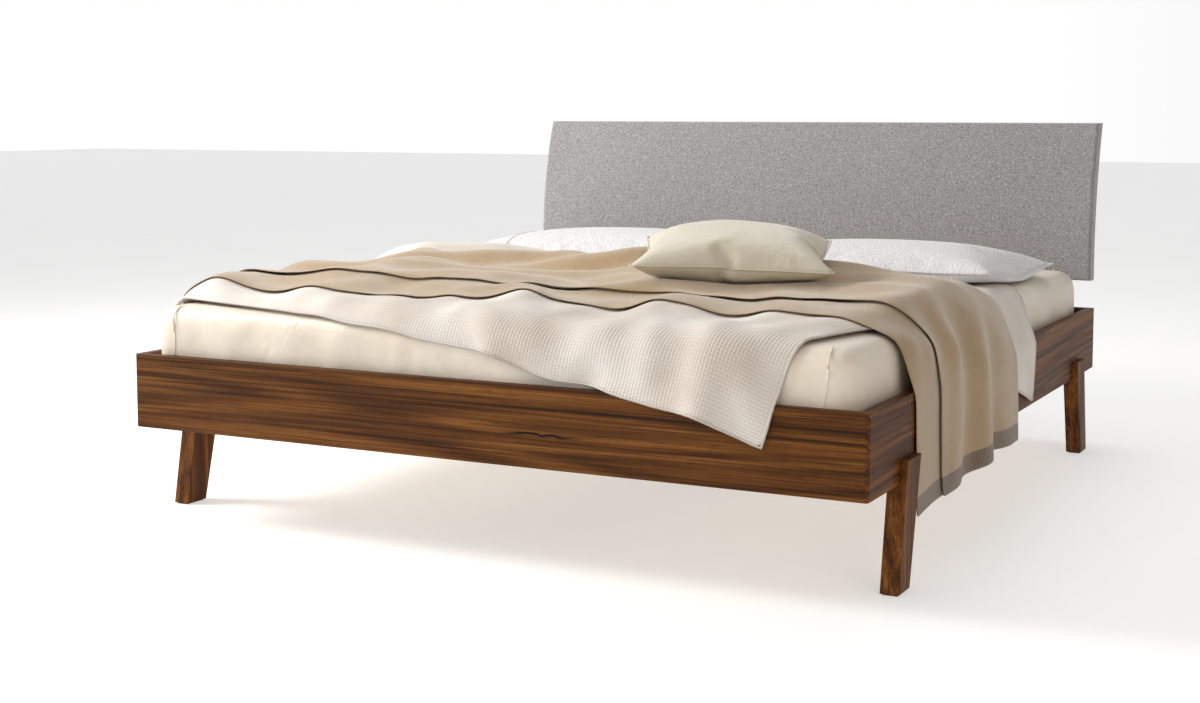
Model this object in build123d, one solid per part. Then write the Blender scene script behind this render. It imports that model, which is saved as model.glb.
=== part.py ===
from build123d import *

import math
import os

# A low platform bed, in millimetres. The origin is on the floor under the centre of the frame,
# +X points to the right side seen from the foot end, +Y to the head end and +Z up.

# Mattress, which the frame is sized round
MATTRESS_WIDTH = 1800.0
MATTRESS_LENGTH = 2000.0
MATTRESS_THICK = 200.0
MATTRESS_ROUND = 24.0
SIDE_SLACK = 15.0
FOOT_SLACK = 5.0
HEAD_SLACK = 45.0
SEAT_GAP = 0.3

# Outer frame
RAIL_HEIGHT = 180.0
RAIL_THICK = 25.0
RAIL_CLEARANCE = 225.0
RAIL_EASE = 2.0
CORNER_BEVEL = 8.0

# Legs: a post under the side rail, and a cheek that laps the rail's outer face
LEG_PROUD = 17.0
LEG_FLOOR_INSET = 156.0
LEG_TOP_INSET = 206.0
LEG_FLOOR_DEPTH = 72.0
LEG_TOP_DEPTH = 92.0
LEG_LAP = 52.0
LEG_EASE = 2.0
GLIDE_THICK = 3.0
GLIDE_MARGIN = 5.0

# Fasteners
HOLE_CLEARANCE = 0.2
LEG_BOLT_RADIUS = 4.0
LEG_BOLT_HEAD_RADIUS = 7.0
LEG_BOLT_HEAD = 5.0
LEG_BOLT_BITE = 12.0
LEG_BOLT_PITCH = 44.0
SCREW_RADIUS = 2.5
SCREW_HEAD_RADIUS = 5.0
SCREW_HEAD = 3.0
SCREW_BITE = 15.0

# Ledges inside the side rails
LEDGE_THICK = 30.0
LEDGE_HEIGHT = 40.0
LEDGE_RAISE = 5.0
LEDGE_END_GAP = 2.0
LEDGE_SCREW_COUNT = 5
LEDGE_SCREW_MARGIN = 120.0

# Corner brackets
BRACKET_LEG = 60.0
BRACKET_THICK = 4.0
BRACKET_HEIGHT = 54.0
BRACKET_RAISE = 3.0
BRACKET_SCREW_INSET = 38.0
BRACKET_SCREW_PITCH = 28.0

# Centre beam, its hangers and the centre leg
BEAM_WIDTH = 80.0
BEAM_HEIGHT = 40.0
BEAM_SIDE_GAP = 0.3
BEAM_END_GAP = 4.0
HANGER_THICK = 3.0
HANGER_REACH = 45.0
HANGER_HEIGHT = 34.0
HANGER_FLANGE = 24.0
POST_SIZE = 40.0
POST_FLOOR_GAP = 45.0
POST_PLATE_LENGTH = 110.0
POST_PLATE_THICK = 3.0
POST_PLATE_MARGIN = 10.0
POST_BORE_DEPTH = 52.0
FOOT_PAD_RADIUS = 25.0
FOOT_PAD_HEIGHT = 12.0
FOOT_ROD_RADIUS = 5.0
FOOT_ROD_TOP = 72.0
FOOT_ROD_GAP = 0.1
LOCK_NUT_WIDTH = 16.0
LOCK_NUT_HEIGHT = 8.0

# Slatted bases
BASE_GAP = 4.0
MEMBER_WIDTH = 30.0
MEMBER_HEIGHT = 40.0
SLAT_ROWS = 14
SLAT_WIDTH = 70.0
SLAT_THICK = 8.0
SLAT_BOW = 8.0
SLAT_END_MARGIN = 60.0
HOLDER_HEIGHT = 14.0
HOLDER_FLOOR = 3.0
HOLDER_WALL = 4.0
HOLDER_OVERHANG = 4.0
HOLDER_BACK = 6.0
HOLDER_GAP = 0.2

# Headboard: a shell curved about a line along X, with its hollow side to the wall
HEADBOARD_INSET = 4.0
HEADBOARD_GAP = 85.0
HEADBOARD_HEIGHT = 470.0
HEADBOARD_BULGE_RISE = 65.0
HEADBOARD_RADIUS = 1130.0
PAD_THICK = 18.0
CORE_THICK = 30.0
BACK_COVER_THICK = 3.0
PAD_RIM = 16.0
PAD_ROUND = 10.0
GLUE_GAP = 0.2
HEAD_BRACKET_INSET = 440.0
HEAD_BRACKET_WIDTH = 60.0
HEAD_BRACKET_THICK = 6.0
HEAD_BRACKET_RAISE = 15.0
HEAD_BRACKET_REACH = 270.0
HEAD_BOLT_RADIUS = 4.0
HEAD_BOLT_HEAD_RADIUS = 7.0
HEAD_BOLT_HEAD = 5.0
HEAD_BOLT_BITE = 20.0
RAIL_BOLT_RAISES = (60.0, 120.0)
CORE_BOLT_RAISES = (110.0, 210.0)

# Duvet and throw. Each hanging edge is a list of points: a distance along the bed's edge,
# and the drop below the mattress's top.
DUVET_THICK = 35.0
DUVET_PILLOW_GAP = 25.0
DUVET_EDGE_GAP = 3.0
DUVET_FLAP_THICK = 28.0
DUVET_FOOT_CORNER = [(610, 0), (590, 130), (350, 178), (225, 196), (175, 100), (125, 0)]
DUVET_SIDE_CORNER = [(3, 0), (3, 184), (270, 170), (367, 267), (425, 130), (425, 0)]
THROW_THICK = 15.0
THROW_FOOT_INSET = 170.0
THROW_HEAD_INSET = 230.0
THROW_EDGE_GAP = 3.0
THROW_FLAP_THICK = 24.0
THROW_RIGHT_HEM = [(290, 339), (415, 306)]
THROW_FRONT_DROP = 99.0
THROW_TIP_DROP = 349.0
THROW_TIP_SHIFT = 15.0
THROW_REAR_DROP = 184.0
THROW_LEFT_DROP = 230.0
LEG_CLEAR_GAP = 8.0

# Pillows and cushion
PILLOW_WIDTH = 760.0
PILLOW_DEPTH = 540.0
PILLOW_THICK = 105.0
PILLOW_SPREAD = 980.0
PILLOW_HEAD_GAP = 285.0
PILLOW_LEFT_INWARD = 90.0
PILLOW_LEFT_BACK = 130.0
PILLOW_ROUND = 40.0
CUSHION_SIZE = 460.0
CUSHION_THICK = 125.0
CUSHION_X = 340.0
CUSHION_HEAD_INSET = 215.0
CUSHION_TURN = 20.0
CUSHION_ROUND = 45.0

# Worked-out levels and planes
INNER_X = MATTRESS_WIDTH / 2 + SIDE_SLACK
INNER_Y = (MATTRESS_LENGTH + FOOT_SLACK + HEAD_SLACK) / 2
SIDE_X = INNER_X + RAIL_THICK
END_Y = INNER_Y + RAIL_THICK
RAIL_TOP = RAIL_CLEARANCE + RAIL_HEIGHT
LEDGE_BOTTOM = RAIL_CLEARANCE + LEDGE_RAISE
LEDGE_TOP = LEDGE_BOTTOM + LEDGE_HEIGHT
LEDGE_FACE_X = INNER_X - LEDGE_THICK
BEAM_BOTTOM = LEDGE_TOP - BEAM_HEIGHT
BRACKET_BOTTOM = LEDGE_TOP + BRACKET_RAISE
MEMBER_TOP = LEDGE_TOP + MEMBER_HEIGHT
HOLDER_TOP = MEMBER_TOP + HOLDER_HEIGHT
SLAT_BOTTOM = MEMBER_TOP + HOLDER_FLOOR
SLAT_CROWN = SLAT_BOTTOM + SLAT_THICK + SLAT_BOW
MATTRESS_BOTTOM = max(SLAT_CROWN, HOLDER_TOP) + SEAT_GAP
MATTRESS_TOP = MATTRESS_BOTTOM + MATTRESS_THICK
LEG_TOP = RAIL_CLEARANCE + LEG_LAP
LEG_BOLT_Z = (LEDGE_BOTTOM + LEDGE_TOP) / 2
LEG_OUTER_X = SIDE_X + LEG_PROUD
BASE_INNER_X = BASE_GAP / 2
BASE_OUTER_X = BASE_INNER_X + MATTRESS_WIDTH / 2
BASE_END_Y = MATTRESS_LENGTH / 2
HOLDER_WIDTH = SLAT_WIDTH + 2 * HOLDER_GAP + 2 * HOLDER_WALL
TONGUE = MEMBER_WIDTH + HOLDER_OVERHANG - HOLDER_BACK
HEADBOARD_HALF = SIDE_X - HEADBOARD_INSET
HEADBOARD_BOTTOM = RAIL_TOP + HEADBOARD_GAP
HEADBOARD_TOP = HEADBOARD_BOTTOM + HEADBOARD_HEIGHT
HEADBOARD_BULGE = HEADBOARD_BOTTOM + HEADBOARD_BULGE_RISE
BACK_RADIUS = HEADBOARD_RADIUS - PAD_THICK - CORE_THICK - BACK_COVER_THICK - 2 * GLUE_GAP
ARC_Y = END_Y + math.sqrt(BACK_RADIUS**2 - HEADBOARD_BULGE_RISE**2)
HEAD_BRACKET_X = SIDE_X - HEAD_BRACKET_INSET
MATTRESS_FOOT_Y = -INNER_Y + FOOT_SLACK
MATTRESS_HEAD_Y = MATTRESS_FOOT_Y + MATTRESS_LENGTH
PILLOW_Y = MATTRESS_HEAD_Y - PILLOW_HEAD_GAP - PILLOW_DEPTH / 2
DUVET_HEAD_Y = PILLOW_Y - PILLOW_DEPTH / 2 - DUVET_PILLOW_GAP
DUVET_TOP = MATTRESS_TOP + DUVET_THICK
THROW_TOP = DUVET_TOP + THROW_THICK
THROW_FOOT_Y = -END_Y + THROW_FOOT_INSET
THROW_HEAD_Y = DUVET_HEAD_Y - THROW_HEAD_INSET

LEG_BOLT_LENGTH = LEDGE_THICK + RAIL_THICK + LEG_BOLT_BITE
LEDGE_SCREW_LENGTH = LEDGE_THICK + SCREW_BITE
BRACKET_SCREW_LENGTH = BRACKET_THICK + SCREW_BITE
HANGER_SCREW_LENGTH = HANGER_THICK + SCREW_BITE
PLATE_SCREW_LENGTH = POST_PLATE_THICK + SCREW_BITE
RAIL_BOLT_LENGTH = HEAD_BRACKET_THICK + SCREW_BITE
CORE_BOLT_LENGTH = HEAD_BRACKET_THICK + 3 * GLUE_GAP + BACK_COVER_THICK + HEAD_BOLT_BITE


def box(low, high):
    """A box between two corners."""
    size = [b - a for a, b in zip(low, high)]
    middle = [(a + b) / 2 for a, b in zip(low, high)]
    return Pos(*middle) * Box(*size)


def rod(start, axis, radius, length):
    """A round bar that starts at a point and runs along an axis."""
    plane = Plane(origin=start, z_dir=axis)
    return plane * Cylinder(radius, length, align=(Align.CENTER, Align.CENTER, Align.MIN))


def prism(points, plane, length):
    """A straight-sided outline in a plane, extruded along the plane's normal."""
    return extrude(plane * make_face(Polyline(*points, close=True)), amount=length)


def mirrored(solids, plane):
    """The solids and their mirror images."""
    return solids + [mirror(solid, about=plane) for solid in solids]


def save(name, solids):
    """Write one node, as one solid or a group of separate solids."""
    shape = solids[0] if len(solids) == 1 else Compound(children=list(solids))
    shape.label = name
    export_step(shape, f"parts/{name}.step")


def fastener(place, radius, length, head_radius, head):
    """A bolt or screw: a shank along the place's axis, and a head on the other side of the seat."""
    point, axis = place
    back = tuple(-a for a in axis)
    return rod(point, axis, radius, length) + rod(point, back, head_radius, head)


def screws(places, length):
    """Wood screws at the places."""
    return [fastener(p, SCREW_RADIUS, length, SCREW_HEAD_RADIUS, SCREW_HEAD) for p in places]


def drill(solid, cutters):
    """Cut every cutter out of a solid."""
    for cutter in cutters:
        solid = solid - cutter
    return solid


# Fastener places, shared by the fasteners and by the holes they go through. A place is the seat
# of the head, and the direction that the shank runs in.

def leg_edge_y(z, top_inset, floor_inset):
    """How far the leg's sloping edge is from the end of the frame at a height."""
    share = (z - GLIDE_THICK) / (LEG_TOP - GLIDE_THICK)
    return floor_inset + (top_inset - floor_inset) * share


def leg_span(z):
    """The front and back edge of the front leg at a height, as Y."""
    front = leg_edge_y(z, LEG_TOP_INSET, LEG_FLOOR_INSET)
    back = leg_edge_y(z, LEG_TOP_INSET + LEG_TOP_DEPTH, LEG_FLOOR_INSET + LEG_FLOOR_DEPTH)
    return -END_Y + front, -END_Y + back


def leg_bolt_places():
    """The four bolts in the right ledge: two for each leg."""
    front, back = leg_span(LEG_BOLT_Z)
    middle = (front + back) / 2
    front_pair = [middle - LEG_BOLT_PITCH / 2, middle + LEG_BOLT_PITCH / 2]
    ys = front_pair + [-y for y in front_pair]
    return [((LEDGE_FACE_X, y, LEG_BOLT_Z), (1, 0, 0)) for y in ys]


def ledge_screw_places():
    """The screws along the right ledge."""
    first = -INNER_Y + LEDGE_END_GAP + LEDGE_SCREW_MARGIN
    pitch = -2 * first / (LEDGE_SCREW_COUNT - 1)
    ys = [first + i * pitch for i in range(LEDGE_SCREW_COUNT)]
    return [((LEDGE_FACE_X, y, LEG_BOLT_Z), (1, 0, 0)) for y in ys]


def bracket_screw_places():
    """The screws in the corner bracket at the foot end on the right."""
    middle = BRACKET_BOTTOM + BRACKET_HEIGHT / 2
    places = []
    for z in (middle - BRACKET_SCREW_PITCH / 2, middle + BRACKET_SCREW_PITCH / 2):
        side = (INNER_X - BRACKET_THICK, -INNER_Y + BRACKET_SCREW_INSET, z)
        end = (INNER_X - BRACKET_SCREW_INSET, -INNER_Y + BRACKET_THICK, z)
        places += [(side, (1, 0, 0)), (end, (0, -1, 0))]
    return places


def hanger_screw_places():
    """The screws in the foot rail's beam hanger."""
    across = BEAM_WIDTH / 2 + BEAM_SIDE_GAP + HANGER_THICK + HANGER_FLANGE / 2
    seat_y = -INNER_Y + HANGER_THICK
    zs = [BEAM_BOTTOM + HANGER_HEIGHT * share for share in (0.25, 0.75)]
    return [((x, seat_y, z), (0, -1, 0)) for x in (-across, across) for z in zs]


def plate_screw_places():
    """The four screws in the centre leg's top plate."""
    x = POST_SIZE / 2 - POST_PLATE_MARGIN
    y = POST_PLATE_LENGTH / 2 - POST_PLATE_MARGIN
    z = BEAM_BOTTOM - POST_PLATE_THICK
    return [((i * x, j * y, z), (0, 0, 1)) for i in (-1, 1) for j in (-1, 1)]


def rail_bolt_places():
    """The bolts through the right headboard bracket into the head rail."""
    seat_y = END_Y + HEAD_BRACKET_THICK
    zs = [RAIL_CLEARANCE + rise for rise in RAIL_BOLT_RAISES]
    return [((HEAD_BRACKET_X, seat_y, z), (0, -1, 0)) for z in zs]


def core_bolt_places():
    """The bolts through the right headboard bracket into the board, square to its curve."""
    seat_radius = BACK_RADIUS - 2 * GLUE_GAP - HEAD_BRACKET_THICK
    places = []
    for rise in CORE_BOLT_RAISES:
        turn = math.asin((rise - HEADBOARD_BULGE_RISE) / BACK_RADIUS)
        outward = (0, -math.cos(turn), math.sin(turn))
        y = ARC_Y + outward[1] * seat_radius
        z = HEADBOARD_BULGE + outward[2] * seat_radius
        places.append(((HEAD_BRACKET_X, y, z), outward))
    return places


def holes(places, radius, length):
    """Clearance holes for shanks that start at each seat and run along its axis."""
    return [rod(point, axis, radius + HOLE_CLEARANCE, length) for point, axis in places]


def both_ends(places):
    """The places at the foot end, and the same places at the head end."""
    return places + [((p[0], -p[1], p[2]), (a[0], -a[1], a[2])) for p, a in places]


def both_sides(places):
    """The places on the right side, and the same places on the left side."""
    return places + [((-p[0], p[1], p[2]), (-a[0], a[1], a[2])) for p, a in places]


LEG_BOLTS = leg_bolt_places()
LEDGE_SCREWS = ledge_screw_places()
BRACKET_SCREWS = bracket_screw_places()
HANGER_SCREWS = hanger_screw_places()
PLATE_SCREWS = plate_screw_places()
RAIL_BOLTS = rail_bolt_places()
CORE_BOLTS = core_bolt_places()


# Frame rails

def rail_bar(half_length, face, along):
    """A rail with eased long edges and mitred ends, standing inside its outer face."""
    low = (-half_length, -face, RAIL_CLEARANCE)
    high = (half_length, -face + RAIL_THICK, RAIL_TOP)
    bar = fillet(box(low, high).edges().filter_by(Axis.X), RAIL_EASE)
    outline = [
        (-half_length + CORNER_BEVEL, -face),
        (half_length - CORNER_BEVEL, -face),
        (half_length - CORNER_BEVEL / 2, -face + CORNER_BEVEL / 2),
        (half_length - RAIL_THICK, -face + RAIL_THICK),
        (-half_length + RAIL_THICK, -face + RAIL_THICK),
        (-half_length + CORNER_BEVEL / 2, -face + CORNER_BEVEL / 2),
    ]
    mitred = bar & prism(outline, Plane.XY.offset(RAIL_CLEARANCE), RAIL_HEIGHT)
    return Rot(0, 0, along) * mitred


def end_rail_holes(end):
    """The holes in the foot rail (end -1) or the head rail (end 1)."""
    corner = [(p, a) for p, a in BRACKET_SCREWS if a[0] == 0]
    cut = holes(both_sides(corner), SCREW_RADIUS, BRACKET_SCREW_LENGTH)
    cut += holes(HANGER_SCREWS, SCREW_RADIUS, HANGER_SCREW_LENGTH)
    if end > 0:
        cut = [mirror(hole, about=Plane.XZ) for hole in cut]
        cut += holes(both_sides(RAIL_BOLTS), HEAD_BOLT_RADIUS, RAIL_BOLT_LENGTH)
    return cut


def side_rail():
    """The right side rail."""
    corner = [(p, a) for p, a in BRACKET_SCREWS if a[0] != 0]
    cut = holes(both_ends(corner), SCREW_RADIUS, BRACKET_SCREW_LENGTH)
    cut += holes(LEG_BOLTS, LEG_BOLT_RADIUS, LEG_BOLT_LENGTH)
    cut += holes(LEDGE_SCREWS, SCREW_RADIUS, LEDGE_SCREW_LENGTH)
    return drill(rail_bar(END_Y, SIDE_X, 90), cut)


# Legs

def front_right_leg():
    """A tapered, splayed leg with a shoulder under the rail and a cheek on its outer face."""
    floor_front, floor_back = leg_span(GLIDE_THICK)
    top_front, top_back = leg_span(LEG_TOP)
    outline = [
        (floor_front, GLIDE_THICK),
        (floor_back, GLIDE_THICK),
        (top_back, LEG_TOP),
        (top_front, LEG_TOP),
    ]
    blank = prism(outline, Plane.YZ.offset(INNER_X), LEG_OUTER_X - INNER_X)
    blank = fillet(blank.faces().sort_by(Axis.X)[-1].edges(), LEG_EASE)
    shoulder = box((0, -END_Y, RAIL_CLEARANCE), (SIDE_X, 0, LEG_TOP + 1))
    return drill(blank - shoulder, holes(LEG_BOLTS, LEG_BOLT_RADIUS, LEG_BOLT_LENGTH))


def front_right_glide():
    """The felt pad under the front right leg."""
    front, back = leg_span(GLIDE_THICK)
    low = (INNER_X + GLIDE_MARGIN, front + GLIDE_MARGIN, 0)
    high = (LEG_OUTER_X - GLIDE_MARGIN, back - GLIDE_MARGIN, GLIDE_THICK)
    return box(low, high)


# Inside the frame

def right_ledge():
    """The batten along the right side rail that a slatted base rests on."""
    end = INNER_Y - LEDGE_END_GAP
    bar = box((LEDGE_FACE_X, -end, LEDGE_BOTTOM), (INNER_X, end, LEDGE_TOP))
    cut = holes(LEG_BOLTS, LEG_BOLT_RADIUS, LEG_BOLT_LENGTH)
    return drill(bar, cut + holes(LEDGE_SCREWS, SCREW_RADIUS, LEDGE_SCREW_LENGTH))


def front_right_bracket():
    """The steel angle inside the front right corner."""
    top = BRACKET_BOTTOM + BRACKET_HEIGHT
    side = box(
        (INNER_X - BRACKET_THICK, -INNER_Y, BRACKET_BOTTOM),
        (INNER_X, -INNER_Y + BRACKET_LEG, top),
    )
    end = box(
        (INNER_X - BRACKET_LEG, -INNER_Y, BRACKET_BOTTOM),
        (INNER_X, -INNER_Y + BRACKET_THICK, top),
    )
    return drill(side + end, holes(BRACKET_SCREWS, SCREW_RADIUS, BRACKET_SCREW_LENGTH))


def centre_beam():
    """The beam from the foot rail to the head rail, under the inner edges of both bases."""
    half = BEAM_WIDTH / 2
    end = INNER_Y - BEAM_END_GAP
    bar = box((-half, -end, BEAM_BOTTOM), (half, end, LEDGE_TOP))
    return drill(bar, holes(PLATE_SCREWS, SCREW_RADIUS, PLATE_SCREW_LENGTH))


def foot_hanger():
    """The steel stirrup on the foot rail that holds the beam's end."""
    inner = BEAM_WIDTH / 2 + BEAM_SIDE_GAP
    outer = inner + HANGER_THICK
    floor = BEAM_BOTTOM - HANGER_THICK
    top = BEAM_BOTTOM + HANGER_HEIGHT
    shell = box((-outer, -INNER_Y, floor), (outer, -INNER_Y + HANGER_REACH, top))
    space = box(
        (-inner, -INNER_Y + HANGER_THICK, BEAM_BOTTOM),
        (inner, -INNER_Y + HANGER_REACH, top),
    )
    wing = outer + HANGER_FLANGE
    flange = box((-wing, -INNER_Y, floor), (wing, -INNER_Y + HANGER_THICK, top))
    return drill(shell + flange - space, holes(HANGER_SCREWS, SCREW_RADIUS, HANGER_SCREW_LENGTH))


def centre_leg():
    """The post under the middle of the beam, with its top plate and a bore for the foot's rod."""
    half = POST_SIZE / 2
    plate_bottom = BEAM_BOTTOM - POST_PLATE_THICK
    post = box((-half, -half, POST_FLOOR_GAP), (half, half, plate_bottom))
    length = POST_PLATE_LENGTH / 2
    plate = box((-half, -length, plate_bottom), (half, length, BEAM_BOTTOM))
    bore = rod((0, 0, POST_FLOOR_GAP), (0, 0, 1), FOOT_ROD_RADIUS + FOOT_ROD_GAP, POST_BORE_DEPTH)
    cut = holes(PLATE_SCREWS, SCREW_RADIUS, POST_PLATE_THICK)
    return drill(post + plate, cut + [bore])


def centre_lock_nut():
    """The hexagonal nut that locks the foot's rod under the post."""
    corner_radius = LOCK_NUT_WIDTH / math.sqrt(3)
    face = Plane.XY.offset(POST_FLOOR_GAP - LOCK_NUT_HEIGHT) * RegularPolygon(corner_radius, 6)
    hole = rod((0, 0, 0), (0, 0, 1), FOOT_ROD_RADIUS + FOOT_ROD_GAP, POST_FLOOR_GAP)
    return extrude(face, amount=LOCK_NUT_HEIGHT) - hole


def centre_foot():
    """The levelling foot: a round pad on a rod that goes up into the post."""
    pad = rod((0, 0, 0), (0, 0, 1), FOOT_PAD_RADIUS, FOOT_PAD_HEIGHT)
    return pad + rod((0, 0, 0), (0, 0, 1), FOOT_ROD_RADIUS, FOOT_ROD_TOP)


# Slatted bases

def slat_row_y(row):
    """The centre of a row of slats."""
    first = -BASE_END_Y + SLAT_END_MARGIN
    return first - row * 2 * first / (SLAT_ROWS - 1)


def base_member(x):
    """One long side member of the right slatted base, from its lower X."""
    return box((x, -BASE_END_Y, LEDGE_TOP), (x + MEMBER_WIDTH, BASE_END_Y, MEMBER_TOP))


def slat_holder(y):
    """The rubber holder on the right base's inner member, with its pocket open to the right."""
    low = BASE_INNER_X
    high = BASE_INNER_X + MEMBER_WIDTH + HOLDER_OVERHANG
    body = box((low, y - HOLDER_WIDTH / 2, MEMBER_TOP), (high, y + HOLDER_WIDTH / 2, HOLDER_TOP))
    half = SLAT_WIDTH / 2 + HOLDER_GAP
    pocket_top = SLAT_BOTTOM + SLAT_THICK + HOLDER_GAP
    return body - box((low + HOLDER_BACK, y - half, SLAT_BOTTOM), (high, y + half, pocket_top))


def slat_holders(y):
    """The two holders of one slat in the right base."""
    inner = slat_holder(y)
    middle = Plane.YZ.offset((BASE_INNER_X + BASE_OUTER_X) / 2)
    return [inner, mirror(inner, about=middle)]


def slat(y):
    """A bowed slat of the right base, with flat ends that sit in the holders."""
    start = BASE_INNER_X + HOLDER_BACK + HOLDER_GAP
    end = BASE_OUTER_X - HOLDER_BACK - HOLDER_GAP
    middle = (start + end) / 2
    bend_start = start + TONGUE
    bend_end = end - TONGUE
    low = SLAT_BOTTOM
    high = SLAT_BOTTOM + SLAT_THICK
    outline = [
        Line((start, low), (bend_start, low)),
        ThreePointArc((bend_start, low), (middle, low + SLAT_BOW), (bend_end, low)),
        Line((bend_end, low), (end, low)),
        Line((end, low), (end, high)),
        Line((end, high), (bend_end, high)),
        ThreePointArc((bend_end, high), (middle, high + SLAT_BOW), (bend_start, high)),
        Line((bend_start, high), (start, high)),
        Line((start, high), (start, low)),
    ]
    face = Plane.XZ.offset(-y - SLAT_WIDTH / 2) * make_face(outline)
    return extrude(face, amount=SLAT_WIDTH)


# Headboard

def shell_layer(outer_radius, thickness, half_width, bottom, top):
    """A curved board: the part of a tube about the headboard's axis between two heights."""
    plane = Plane(origin=(-half_width, ARC_Y, HEADBOARD_BULGE), x_dir=(0, 1, 0), z_dir=(1, 0, 0))
    ring = Circle(outer_radius) - Circle(outer_radius - thickness)
    tube = extrude(plane * ring, amount=2 * half_width)
    cutter = box((-half_width, ARC_Y - outer_radius, bottom), (half_width, ARC_Y, top))
    return tube & cutter


def headboard_core():
    """The bent plywood board."""
    half = HEADBOARD_HALF - PAD_RIM - GLUE_GAP
    radius = HEADBOARD_RADIUS - PAD_THICK - GLUE_GAP
    low = HEADBOARD_BOTTOM + PAD_RIM + GLUE_GAP
    high = HEADBOARD_TOP - PAD_RIM - GLUE_GAP
    core = shell_layer(radius, CORE_THICK, half, low, high)
    return drill(core, holes(both_sides(CORE_BOLTS), HEAD_BOLT_RADIUS, CORE_BOLT_LENGTH))


def headboard_cover():
    """The felt-covered pad over the core's front and edges."""
    half = HEADBOARD_HALF
    depth = PAD_THICK + CORE_THICK + GLUE_GAP
    pad = shell_layer(HEADBOARD_RADIUS, depth, half, HEADBOARD_BOTTOM, HEADBOARD_TOP)
    front = pad.faces().sort_by(Axis.Y)[0]
    pad = fillet(front.edges(), PAD_ROUND)
    pocket = shell_layer(
        HEADBOARD_RADIUS - PAD_THICK,
        depth,
        half - PAD_RIM,
        HEADBOARD_BOTTOM + PAD_RIM,
        HEADBOARD_TOP - PAD_RIM,
    )
    return pad - pocket


def headboard_back_cover():
    """The thin cover over the back of the core and of the pad's rim."""
    half = HEADBOARD_HALF - GLUE_GAP
    radius = BACK_RADIUS + BACK_COVER_THICK
    cover = shell_layer(radius, BACK_COVER_THICK, half, HEADBOARD_BOTTOM, HEADBOARD_TOP)
    return drill(cover, holes(both_sides(CORE_BOLTS), HEAD_BOLT_RADIUS, CORE_BOLT_LENGTH))


def headboard_bracket():
    """The right flat steel bar, bolted to the head rail and bent to the headboard's back."""
    half = HEAD_BRACKET_WIDTH / 2
    straight = box(
        (-half, END_Y, RAIL_CLEARANCE + HEAD_BRACKET_RAISE),
        (half, END_Y + HEAD_BRACKET_THICK, HEADBOARD_BOTTOM),
    )
    top = HEADBOARD_BOTTOM + HEAD_BRACKET_REACH
    radius = BACK_RADIUS - GLUE_GAP
    arc = shell_layer(radius, HEAD_BRACKET_THICK, half, HEADBOARD_BOTTOM, top)
    bar = Pos(HEAD_BRACKET_X, 0, 0) * (straight + arc)
    cut = holes(RAIL_BOLTS, HEAD_BOLT_RADIUS, RAIL_BOLT_LENGTH)
    return drill(bar, cut + holes(CORE_BOLTS, HEAD_BOLT_RADIUS, CORE_BOLT_LENGTH))


def headboard_bolts():
    """The bolts of both headboard brackets."""
    head = (HEAD_BOLT_HEAD_RADIUS, HEAD_BOLT_HEAD)
    low = [fastener(p, HEAD_BOLT_RADIUS, RAIL_BOLT_LENGTH, *head) for p in both_sides(RAIL_BOLTS)]
    high = [fastener(p, HEAD_BOLT_RADIUS, CORE_BOLT_LENGTH, *head) for p in both_sides(CORE_BOLTS)]
    return low + high


# Mattress and bedding

def padded_block(width, depth, thickness, rounding):
    """A soft block centred on the origin, with its corners and edges rounded."""
    return fillet(Box(width, depth, thickness).edges(), rounding)


def mattress():
    """The mattress in its fitted sheet."""
    block = padded_block(MATTRESS_WIDTH, MATTRESS_LENGTH, MATTRESS_THICK, MATTRESS_ROUND)
    middle_y = (MATTRESS_FOOT_Y + MATTRESS_HEAD_Y) / 2
    return Pos(0, middle_y, MATTRESS_BOTTOM + MATTRESS_THICK / 2) * block


def duvet():
    """The duvet: a slab on the mattress, one corner over the foot rail and one over the side rail."""
    half = MATTRESS_WIDTH / 2
    slab = box((-half, MATTRESS_FOOT_Y, MATTRESS_TOP), (half, DUVET_HEAD_Y, DUVET_TOP))

    foot_face = -END_Y - DUVET_EDGE_GAP
    corner = [(SIDE_X - inset, MATTRESS_TOP - drop) for inset, drop in DUVET_FOOT_CORNER]
    foot_flap = prism(corner, Plane.XZ.offset(-foot_face), DUVET_FLAP_THICK)
    foot_bridge = box(
        (corner[0][0], foot_face - DUVET_FLAP_THICK, MATTRESS_TOP),
        (corner[-1][0], MATTRESS_FOOT_Y, DUVET_TOP),
    )

    side_face = SIDE_X + DUVET_EDGE_GAP
    corner = [(THROW_HEAD_Y + along, MATTRESS_TOP - drop) for along, drop in DUVET_SIDE_CORNER]
    side_flap = prism(corner, Plane.YZ.offset(side_face), DUVET_FLAP_THICK)
    side_bridge = box(
        (half, corner[0][0], MATTRESS_TOP),
        (side_face + DUVET_FLAP_THICK, corner[-1][0], DUVET_TOP),
    )
    return slab + foot_bridge + foot_flap + side_bridge + side_flap


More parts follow.
